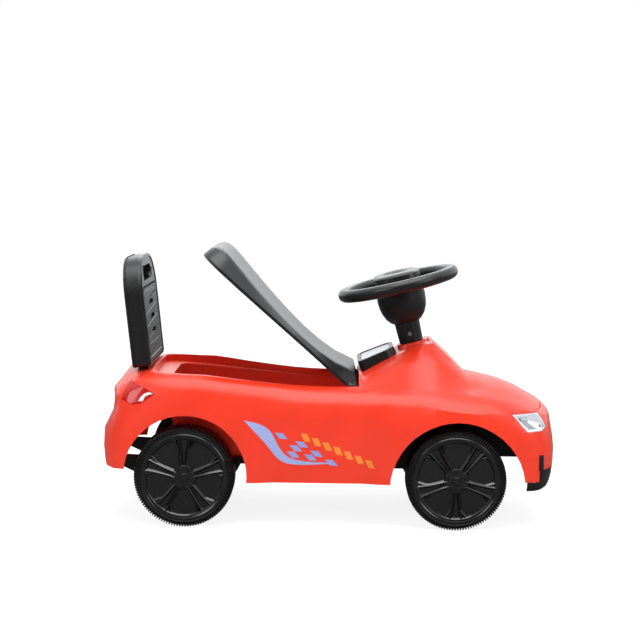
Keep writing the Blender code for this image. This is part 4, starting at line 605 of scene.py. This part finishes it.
def recipes():
    """What each finish is made of, with its sheen and its mould's texture."""
    scene = bpy.context.scene
    body, wheel, trim = scene.ride_body, scene.ride_wheel, scene.ride_trim
    # Screen print on vinyl film: even ink, soft shine
    film = {"roughness": 0.30, "grain": 0.4, "depth": 0.002, "coat": 0.2}
    return {
        # Blow-moulded polyethylene: even pigment, a wide soft shine, a faint
        # orange peel from the mould
        "red shell": dict(
            name="glossy_moulded_polyethylene_red", colour=body.colour,
            roughness=0.33, grain=1.6, depth=0.008, coat=0.12,
            specular=0.36),
        # Moulded polypropylene with a fine spark grain: deep black, dull sheen
        "black shell": dict(
            name="grained_moulded_polypropylene_black", colour=trim.black,
            roughness=0.48, grain=0.7, depth=0.02, specular=0.4),
        # The seat and the pads: the same plastic from a smoother mould
        "satin shell": dict(
            name="satin_moulded_polypropylene_black", colour=trim.black,
            roughness=0.36, grain=0.9, depth=0.012, coat=0.1),
        # Blow-moulded wheel: a low sheen, blurred by a cast mould
        "tyre": dict(
            name="matt_blow_moulded_polyethylene_black", colour=wheel.black,
            roughness=0.38, grain=1.2, depth=0.01),
        # Injection-moulded ABS: sharper and glossier than the tyre
        "wheel trim": dict(
            name="gloss_moulded_abs_black", colour=wheel.black,
            roughness=0.20, grain=1.0, depth=0.003, coat=0.5),
        # Natural nylon bushes: warm white, waxy
        "nylon": dict(
            name="natural_moulded_nylon", colour="#D6D4CB",
            roughness=0.45, grain=1.0, depth=0.006),
        # Silver-printed film on the dial plate: fine metallic grain
        "silver": dict(
            name="silver_printed_film", colour=trim.silver,
            roughness=0.35, grain=0.5, depth=0.004, metallic=0.35),
        # The three inks of the side print
        "sweep print": dict(
            name="printed_vinyl_film_blue", colour=trim.blue, **film),
        "chequer print": dict(
            name="printed_vinyl_film_deep_blue", colour="#8F9FDC", **film),
        "slash print": dict(
            name="printed_vinyl_film_orange", colour=trim.orange, **film),
        # Hot-stamped foil on the edge of a headlamp; the same bright finish is
        # painted on the tail lamp as its highlight
        "bright foil and painted highlight": dict(
            name="silver_foil_and_painted_highlight", colour="#EDEEF0",
            roughness=0.22, grain=0.6, depth=0.003, coat=0.3),
        # Smoked styrene behind the clear skin of the headlamp
        "dark reflector": dict(
            name="smoked_styrene_grey", colour="#7B8289",
            roughness=0.2, grain=1.5, depth=0.004, coat=0.8),
        # Metallised styrene insert under a clear skin
        "headlamp": dict(
            name="metallised_styrene_grey", colour="#B9BEC4",
            roughness=0.22, grain=2.0, depth=0.004, coat=0.8,
            metallic=0.4),
        # Clear red styrene
        "tail lamp": dict(
            name="clear_red_styrene", colour="#C4100E",
            roughness=0.12, grain=2.0, depth=0.002, coat=0.4),
    }


FINISHES = {}


def finish_of(kind):
    """The named finish, made on first use."""
    if kind not in FINISHES:
        if kind == "steel":
            FINISHES[kind] = drawn_steel("zinc_plated_drawn_steel")
        else:
            FINISHES[kind] = moulded(**recipes()[kind])
    return FINISHES[kind]


# ---------------------------------------------------------------- stage

def paper_floor():
    """The white paper that the car stands on."""
    deselect()
    bpy.ops.mesh.primitive_plane_add(size=12.0, location=(0.0, 0.0, 0.0))
    floor = bpy.context.object
    floor.name = "floor"
    finish, tree, shader = new_finish("white_paper_sweep")
    shader.inputs["Roughness"].default_value = 0.9
    path = add(tree, "ShaderNodeLightPath")
    # The car reflects a greyer paper than the one that lights it
    paper = add(tree, "ShaderNodeMixRGB",
                {"Color1": linear("#F4F4F4"), "Color2": linear("#6C6C6C")},
                {"Fac": path.outputs["Is Glossy Ray"]})
    tree.links.new(paper.outputs["Color"], shader.inputs["Base Color"])
    # The camera sees it nearly white, with a soft shadow
    glow = add(tree, "ShaderNodeEmission",
               {"Color": (1.0, 1.0, 1.0, 1.0), "Strength": PAPER_GLOW})
    dim = add(tree, "ShaderNodeBsdfDiffuse",
              {"Color": (PAPER_CATCH, PAPER_CATCH, PAPER_CATCH, 1.0)})
    seen = add(tree, "ShaderNodeAddShader",
               links={0: glow.outputs[0], 1: dim.outputs[0]})
    mix = add(tree, "ShaderNodeMixShader",
              links={0: path.outputs["Is Camera Ray"],
                     1: shader.outputs[0], 2: seen.outputs[0]})
    tree.links.new(mix.outputs[0],
                   tree.nodes["Material Output"].inputs["Surface"])
    wear(floor, finish)


def white_room():
    """A white room: the camera sees it white, the car in an even light."""
    world = bpy.data.worlds.new("white_studio")
    bpy.context.scene.world = world
    world.use_nodes = True
    tree = world.node_tree
    path = add(tree, "ShaderNodeLightPath")
    sees = add(tree, "ShaderNodeMath", {"operation": "MAXIMUM"},
               {0: path.outputs["Is Camera Ray"],
                1: path.outputs["Is Transmission Ray"]})
    lit = tree.nodes["Background"]
    lit.inputs["Color"].default_value = (0.96, 0.98, 1.0, 1.0)
    # Reflections see the white sweep behind and above the car, and a dim
    # room in front of it
    way = add(tree, "ShaderNodeTexCoord").outputs["Generated"]
    rise = add(tree, "ShaderNodeVectorMath", {"operation": "DOT_PRODUCT"},
               {0: way})
    rise.inputs[1].default_value = SWEEP_WAY
    sweep = add(tree, "ShaderNodeMapRange",
                {"From Min": SWEEP_REACH[0], "From Max": SWEEP_REACH[1],
                 "To Min": SWEEP_GLEAM[0], "To Max": SWEEP_GLEAM[1]},
                {"Value": rise.outputs["Value"]})
    dimmed = add(tree, "ShaderNodeMapRange", {"To Min": ROOM_LIGHT},
                 {"Value": path.outputs["Is Glossy Ray"],
                  "To Max": sweep.outputs["Result"]})
    tree.links.new(dimmed.outputs["Result"], lit.inputs["Strength"])
    white = add(tree, "ShaderNodeBackground",
                {"Color": (1.0, 1.0, 1.0, 1.0), "Strength": 1.0})
    mix = add(tree, "ShaderNodeMixShader",
              links={0: sees.outputs[0], 1: lit.outputs[0],
                     2: white.outputs[0]})
    tree.links.new(mix.outputs[0],
                   tree.nodes["World Output"].inputs["Surface"])


def soft_lamp(name, place, aim, size, power):
    """A square lamp aimed at a point."""
    deselect()
    bpy.ops.object.light_add(type="AREA", location=place)
    lamp = bpy.context.object
    lamp.name = name
    lamp.data.size = size
    lamp.data.energy = power
    lamp.rotation_euler = (Vector(aim) - Vector(place)).to_track_quat(
        "-Z", "Y").to_euler()


def studio_camera():
    """The camera at its place, with its yaw, pitch and roll."""
    scene = bpy.context.scene
    stage = scene.ride_stage
    yaw, pitch, roll = stage.camera_yaw, stage.camera_pitch, stage.camera_roll
    look = Vector((sin(yaw) * cos(pitch), cos(yaw) * cos(pitch), -sin(pitch)))
    right = Vector((cos(yaw), -sin(yaw), 0.0))
    up = right.cross(look)
    right, up = (cos(roll) * right + sin(roll) * up,
                 -sin(roll) * right + cos(roll) * up)
    deselect()
    bpy.ops.object.camera_add(location=stage.camera_place)
    camera = bpy.context.object
    camera.name = "studio_camera"
    camera.rotation_euler = Matrix((right, up, -look)).transposed().to_euler()
    camera.data.lens = stage.lens
    camera.data.sensor_width = 36.0
    scene.camera = camera


# ---------------------------------------------------------------- operators

class RIDE_OT_stage(bpy.types.Operator):
    """Pale floor, soft studio lamps and the camera"""
    bl_idname = "ride.stage"
    bl_label = "Stage"

    def execute(self, context):
        paper_floor()
        white_room()
        for lamp in LAMPS:
            soft_lamp(*lamp)
        studio_camera()
        context.scene.view_settings.view_transform = "Standard"
        return {"FINISHED"}


def shut_line(shell):
    """The bonnet's shut line round the nose, as points for a bar."""
    line = []
    for k in range(2 * SHUT_STEPS + 1):
        turn = SHUT_REACH * (k / SHUT_STEPS - 1)
        way = Vector((cos(turn), sin(turn), 0.0))
        middle = Vector((SHUT_MIDDLE, 0.0, SHUT_HEIGHT))
        hit, where, _, _ = shell.ray_cast(middle + 0.3 * way, -way)
        if not hit:
            raise ValueError("the shut line misses the nose")
        line.append((*where, SHUT_RADIUS))
    return line


def fog_ribs(side, name):
    """Bars across the fog lamp insert of one side."""
    node = "fog_insert_" + name
    low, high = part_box(node)
    lines = []
    for k in range(FOG_RIBS):
        z = low.z + (high.z - low.z) * (k + 0.5) / FOG_RIBS
        lines.append(laid(
            bpy.data.objects[node + "_skin"],
            between((low.x + FOG_MARGIN, z), (high.x - FOG_MARGIN, z), 3),
            side, FOG_RIB_RADIUS))
    bars = tube("fog_ribs_" + name, lines)
    wear(bars, finish_of("satin shell"))
    place_on(bars, "car_body")


class RIDE_OT_body(bpy.types.Operator):
    """Red shell, tub, chassis tray and front trim"""
    bl_idname = "ride.body"
    bl_label = "Body"

    def execute(self, context):
        shell = moulding("body_shell", finish_of("red shell"))
        grooved(shell, [shut_line(shell)])
        shade(shell, context.scene.ride_body.smooth_angle)
        moulding("storage_tub", finish_of("red shell"), bevel=0.0004)
        for node in ("chassis_tray", "front_subframe", "axle_clamp_right",
                     "axle_clamp_left", "front_bumper", "front_grille",
                     "fog_insert_right", "fog_insert_left"):
            moulding(node, finish_of("black shell"))
        for side, name in SIDES:
            fog_ribs(side, name)
        return {"FINISHED"}


class RIDE_OT_prints(bpy.types.Operator):
    """Sweep, chequer and slashes on both sides"""
    bl_idname = "ride.prints"
    bl_label = "Side prints"

    def execute(self, context):
        shell = bpy.data.objects["body_shell_skin"]
        tiles = [moved(CHEQUER_TILE, (x + k * CHEQUER_STEP[0],
                                      z + k * CHEQUER_STEP[1]))
                 for (x, z), count in CHEQUER_ROWS for k in range(count)]
        slashes = [moved(SLASH_SHAPE, (SLASH_FIRST[0] + k * SLASH_STEP[0],
                                       SLASH_FIRST[1] + k * SLASH_STEP[1]))
                   for k in range(SLASHES)]
        sweep = bent(SWEEP_TOP)[:-1] + bent(SWEEP_FOOT)[:-1]
        for side, name in SIDES:
            sticker("print_sweep_" + name, [sweep], side,
                    finish_of("sweep print"), shell)
            sticker("print_chequer_" + name, tiles, side,
                    finish_of("chequer print"), shell)
            sticker("print_slashes_" + name, slashes, side,
                    finish_of("slash print"), shell)
        return {"FINISHED"}


class RIDE_OT_lamps(bpy.types.Operator):
    """Headlamps and tail lamps"""
    bl_idname = "ride.lamps"
    bl_label = "Lamps"

    def execute(self, context):
        for side, name in SIDES:
            head = moulding("headlight_" + name, finish_of("headlamp"))
            tail = moulding("taillight_" + name, finish_of("tail lamp"))
            ends = HEADLAMP_EDGE[1:] + HEADLAMP_EDGE[:1]
            edge = [point for a, b in zip(HEADLAMP_EDGE, ends)
                    for point in between(a, b, 4)[:-1]]
            rim = tube("headlamp_edge_" + name,
                       [laid(head, edge, side, HEADLAMP_BEAD)], sides=2,
                       closed=True)
            wear(rim, finish_of("bright foil and painted highlight"))
            shade(rim, radians(40))
            place_on(rim, "car_body")
            sticker("headlamp_reflector_" + name, [REFLECTOR], side,
                    finish_of("dark reflector"), head, pitch=LAMP_CELL)
            bolts = joined([
                primitive("uv_sphere", "bolt", segments=12, ring_count=6,
                          radius=radius, location=place)
                for *place, radius in laid(head, HEADLAMP_BOLTS, side,
                                           HEADLAMP_BOLT_RADIUS)])
            bolts.name = "headlamp_bolts_" + name
            wear(bolts, finish_of("dark reflector"))
            shade(bolts, radians(60))
            place_on(bolts, "car_body")
            # A painted highlight: a white crescent laid on the tail lamp, in
            # the bright foil finish
            sticker("tail_painted_highlight_" + name, [TAIL_HIGHLIGHT_CRESCENT], side,
                    finish_of("bright foil and painted highlight"), tail,
                    pitch=LAMP_CELL)
        return {"FINISHED"}


class RIDE_OT_seat(bpy.types.Operator):
    """Seat lid and its hinge rod"""
    bl_idname = "ride.seat"
    bl_label = "Seat"

    def execute(self, context):
        moulding("seat_lid", finish_of("satin shell"))
        moulding("seat_hinge_rod", finish_of("steel"))
        return {"FINISHED"}


class RIDE_OT_backrest(bpy.types.Operator):
    """Backrest with its hand hole and panel"""
    bl_idname = "ride.backrest"
    bl_label = "Backrest"

    def execute(self, context):
        moulding("backrest_frame", finish_of("satin shell"), bevel=0.0032,
                 segments=4, clamp=False)
        panel = moulding("backrest_panel", finish_of("satin shell"))
        outline, slopes = panel_grooves(panel)
        grooved(panel, [outline], closed=True)
        grooved(panel, slopes)
        shade(panel, context.scene.ride_body.smooth_angle)
        return {"FINISHED"}


def panel_grooves(panel):
    """An outline and four sloping grooves in the panel's front face."""
    front = max(panel.data.polygons, key=lambda f: f.area * f.normal.x)
    across = Vector((0.0, 1.0, 0.0))
    up = front.normal.cross(across)
    rises = [panel.data.vertices[k].co.dot(up) for k in front.vertices]
    wide = max(panel.data.vertices[k].co.y for k in front.vertices)
    tall = (max(rises) - min(rises)) / 2
    middle = (front.normal * front.center.dot(front.normal)
              + up * (max(rises) + min(rises)) / 2)

    def at(y, v):
        return (*(middle + across * y + up * v), PANEL_GROOVE)

    y, v, cut = wide - PANEL_MARGIN, tall - PANEL_MARGIN, PANEL_CORNER
    outline = [at(*spot) for spot in (
        (-y, cut - v), (-y, v - cut), (cut - y, v), (y - cut, v),
        (y, v - cut), (y, cut - v), (y - cut, -v), (cut - y, -v))]
    y = wide - SLOPE_MARGIN
    slopes = [[at(-y, tall * level + SLOPE_ENDS[0]),
               at(y, tall * level + SLOPE_ENDS[1])] for level in SLOPE_LEVELS]
    return outline, slopes


class RIDE_OT_dash(bpy.types.Operator):
    """Instrument housing and dial plate"""
    bl_idname = "ride.dash"
    bl_label = "Dash"

    def execute(self, context):
        moulding("gauge_housing", finish_of("satin shell"), bevel=0.0012,
                 segments=3)
        dial = moulding("gauge_face", finish_of("silver"))
        editing(dial)
        bpy.ops.transform.shrink_fatten(value=-DIAL_GAP, use_even_offset=True)
        done()
        return {"FINISHED"}


class RIDE_OT_steering(bpy.types.Operator):
    """Steering wheel, music box, horn button, neck and linkage"""
    bl_idname = "ride.steering"
    bl_label = "Steering"

    def execute(self, context):
        for node in ("steering_wheel", "music_box", "steering_neck",
                     "horn_button", "knuckle_right", "knuckle_left"):
            moulding(node, finish_of("black shell"))
        moulding("music_pad", finish_of("satin shell"), bevel=0.0005,
                 segments=3)
        joint = next(j for j in frame["record"]["behaviour"]["joints"]
                     if j["name"] == "steering_turn")
        column = Vector(joint["axis"])
        grip = primitive("torus", "ring_grip", major_segments=96,
                         minor_segments=20, major_radius=GRIP_RING,
                         minor_radius=GRIP_TUBE, location=joint["pos_m"],
                         rotation=column.to_track_quat("Z", "Y").to_euler())
        wear(grip, finish_of("satin shell"))
        shade(grip, radians(60))
        place_on(grip, "steering")
        for node in ("steering_rod", "neck_screw", "tie_rod", "kingpin_right",
                     "kingpin_left"):
            moulding(node, finish_of("steel"))
        moulding("column_bush", finish_of("nylon"))
        return {"FINISHED"}


def tyre_and_teeth():
    """The drum of a wheel and the fine ribs round its tread."""
    wheel = bpy.context.scene.ride_wheel
    base = wheel.radius - wheel.tooth_depth
    wide, floor = wheel.width, wheel.width - WINDOW_DEPTH
    # (radius, height) over the outer face, the tread and the inner face to
    # the bore, and back along the floor behind the spokes
    drum = lathe("tyre", [
        (RIM_RADIUS, floor), (RIM_RADIUS, wide - 0.0006),
        (RIM_RADIUS + 0.0008, wide), (base - 0.0058, wide),
        (base - 0.0046, wide - 0.0012), (base - 0.0022, wide - 0.0040),
        (base - 0.0003, wide - 0.0075), (base, wide / 2),
        (base - 0.0001, 0.0048), (base - 0.0012, 0.0015),
        (base - 0.0028, 0.0), (base - 0.0066, 0.0),
        (base - 0.0066, floor - 0.003), (0.012, floor - 0.003),
        (0.011, 0.0), (0.0044, 0.0), (0.0044, floor), (RIM_RADIUS, floor)],
        wheel.steps)
    tooth = primitive("cube", "tooth", size=1.0,
                      location=(wheel.radius - TOOTH_ROOT / 2, 0.0, wide / 2),
                      scale=(TOOTH_ROOT, TOOTH_WIDTH, wide + TOOTH_OVERHANG))
    # Only the two ends of its outer face are chamfered
    editing(tooth)
    bpy.ops.mesh.select_mode(type="EDGE")
    bpy.ops.mesh.select_all(action="DESELECT")
    done()
    for edge in tooth.data.edges:
        ends = [tooth.data.vertices[k].co for k in edge.vertices]
        edge.select = (all(e.x > wheel.radius - 0.0001 for e in ends)
                       and abs(ends[0].z - ends[1].z) < 0.0001)
    bpy.ops.object.mode_set(mode="EDIT")
    bpy.ops.mesh.bevel(offset=TOOTH_CHAMFER, segments=2)
    bpy.ops.mesh.select_all(action="SELECT")
    bpy.ops.mesh.spin(steps=wheel.teeth - 1, dupli=True,
                      angle=2 * pi * (wheel.teeth - 1) / wheel.teeth,
                      center=(0.0, 0.0, 0.0), axis=(0.0, 0.0, 1.0))
    done()
    made = joined([drum, tooth])
    wear(made, finish_of("tyre"))
    return shade(made, radians(35))


def spoked_trim():
    """Rim ring, window floor and pairs of spokes that fork out."""
    wheel = bpy.context.scene.ride_wheel
    floor = wheel.width - WINDOW_DEPTH
    ring = lathe("rim_ring", [
        (0.0586, floor + 0.0004), (0.0586, floor + 0.0042),
        (0.0578, floor + 0.0048), (0.0556, floor + 0.0045),
        (0.0540, floor + 0.0034), (0.0524, floor + 0.0031),
        (0.0506, floor + 0.0016), (0.0500, floor + 0.0004),
        (0.0586, floor + 0.0004)], wheel.steps)
    disc = lathe("window_floor", [
        (0.0505, floor + 0.0004), (0.0505, floor + 0.0008),
        (0.0300, floor + 0.0012), (0.0, floor + 0.0014)], 48)
    lines = []
    for k in range(wheel.spoke_pairs):
        turn = Matrix.Rotation(2 * pi * k / wheel.spoke_pairs, 3, "Z")
        for side in (-1, 1):
            for path in (SPOKE_PATH, FORK_PATH):
                lines.append([(*(turn @ Vector((x, side * y, floor + z))), r)
                              for x, y, z, r in path])
    made = outward(joined([ring, disc, tube("spokes", lines)]))
    wear(made, finish_of("wheel trim"))
    return shade(made, radians(24))


def lug_hub():
    """Hub plate with a lug recess between spokes and a six-sided cap."""
    wheel = bpy.context.scene.ride_wheel
    top = wheel.width + HUB_RISE
    plate = lathe("hub", [
        (0.0172, top - 0.0040), (0.0168, top - 0.0016),
        (0.0158, top - 0.0004), (0.0088, top), (0.0, top)], 60)
    editing(plate)
    bpy.ops.mesh.region_to_loop()
    bpy.ops.mesh.edge_face_add()
    done()
    outward(plate)
    turns = [2 * pi * (k + 0.5) / wheel.spoke_pairs
             for k in range(wheel.spoke_pairs)]
    lugs = [(LUG_CIRCLE * cos(turn), LUG_CIRCLE * sin(turn)) for turn in turns]
    cut_out(plate, joined([
        primitive("cylinder", "lug", vertices=20, radius=LUG_RADIUS,
                  depth=2 * LUG_DEPTH, location=(x, y, top))
        for x, y in lugs]))
    cap = primitive("cone", "middle_cap", vertices=6, radius1=0.0066,
                    radius2=0.0052, depth=0.0016,
                    location=(0.0, 0.0, top + 0.0010))
    bolts = [primitive("uv_sphere", "bolt", segments=12, ring_count=6,
                       radius=BOLT_RADIUS, location=(x, y, top - BOLT_SUNK))
             for x, y in lugs]
    made = joined([plate, cap] + bolts)
    wear(made, finish_of("wheel trim"))
    return shade(made, radians(30))


class RIDE_OT_wheels(bpy.types.Operator):
    """Ribbed tyres, spoked trims, lug hubs and the rear axle"""
    bl_idname = "ride.wheels"
    bl_label = "Wheels"

    def execute(self, context):
        shapes = {"wheel_": tyre_and_teeth(), "wheel_trim_": spoked_trim(),
                  "hub_cap_": lug_hub()}
        for spot in ("rear_right", "rear_left", "front_right", "front_left"):
            low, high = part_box("wheel_" + spot)
            side = -1 if spot.endswith("right") else 1
            inner = high.y if side < 0 else low.y
            first = pi / 2 if spot.startswith("rear") else -pi / 2
            where = (Matrix.Translation(((low.x + high.x) / 2, inner,
                                         (low.z + high.z) / 2))
                     @ Matrix.Rotation(-side * pi / 2, 4, "X")
                     @ Matrix.Rotation(first, 4, "Z"))
            for kind, shape in shapes.items():
                piece = copied(shape, kind + spot + "_made", where)
                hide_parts(kind + spot)
                place_on(piece, body_holding(kind + spot))
        for shape in shapes.values():
            bpy.data.objects.remove(shape)
        moulding("rear_axle", finish_of("steel"))
        for side in ("right", "left"):
            moulding("axle_spacer_" + side, finish_of("nylon"))
        return {"FINISHED"}


class RIDE_PT_panel(bpy.types.Panel):
    """Settings and steps of the ride-on car"""
    bl_idname = "RIDE_PT_panel"
    bl_label = "Ride-on car"
    bl_space_type = "VIEW_3D"
    bl_region_type = "UI"
    bl_category = "Ride-on car"

    def draw(self, context):
        for group in GROUPS:
            box = self.layout.box()
            settings = getattr(context.scene, group)
            for key in settings.__annotations__:
                box.prop(settings, key)
        for operator in OPERATORS:
            self.layout.operator(operator.bl_idname)


GROUPS = {"ride_body": BodySettings, "ride_wheel": WheelSettings,
          "ride_trim": TrimSettings, "ride_stage": StageSettings}
OPERATORS = (RIDE_OT_stage, RIDE_OT_body, RIDE_OT_prints, RIDE_OT_lamps,
             RIDE_OT_seat, RIDE_OT_backrest, RIDE_OT_dash, RIDE_OT_steering,
             RIDE_OT_wheels)


def register():
    for name, group in GROUPS.items():
        bpy.utils.register_class(group)
        setattr(bpy.types.Scene, name, PointerProperty(type=group))
    for cls in OPERATORS + (RIDE_PT_panel,):
        bpy.utils.register_class(cls)


def unregister():
    for cls in reversed(OPERATORS + (RIDE_PT_panel,)):
        bpy.utils.unregister_class(cls)
    for name, group in reversed(GROUPS.items()):
        delattr(bpy.types.Scene, name)
        bpy.utils.unregister_class(group)


def main():
    register()
    for operator in OPERATORS:
        group, name = operator.bl_idname.split(".")
        getattr(getattr(bpy.ops, group), name)()


if __name__ == "__main__":
    main()
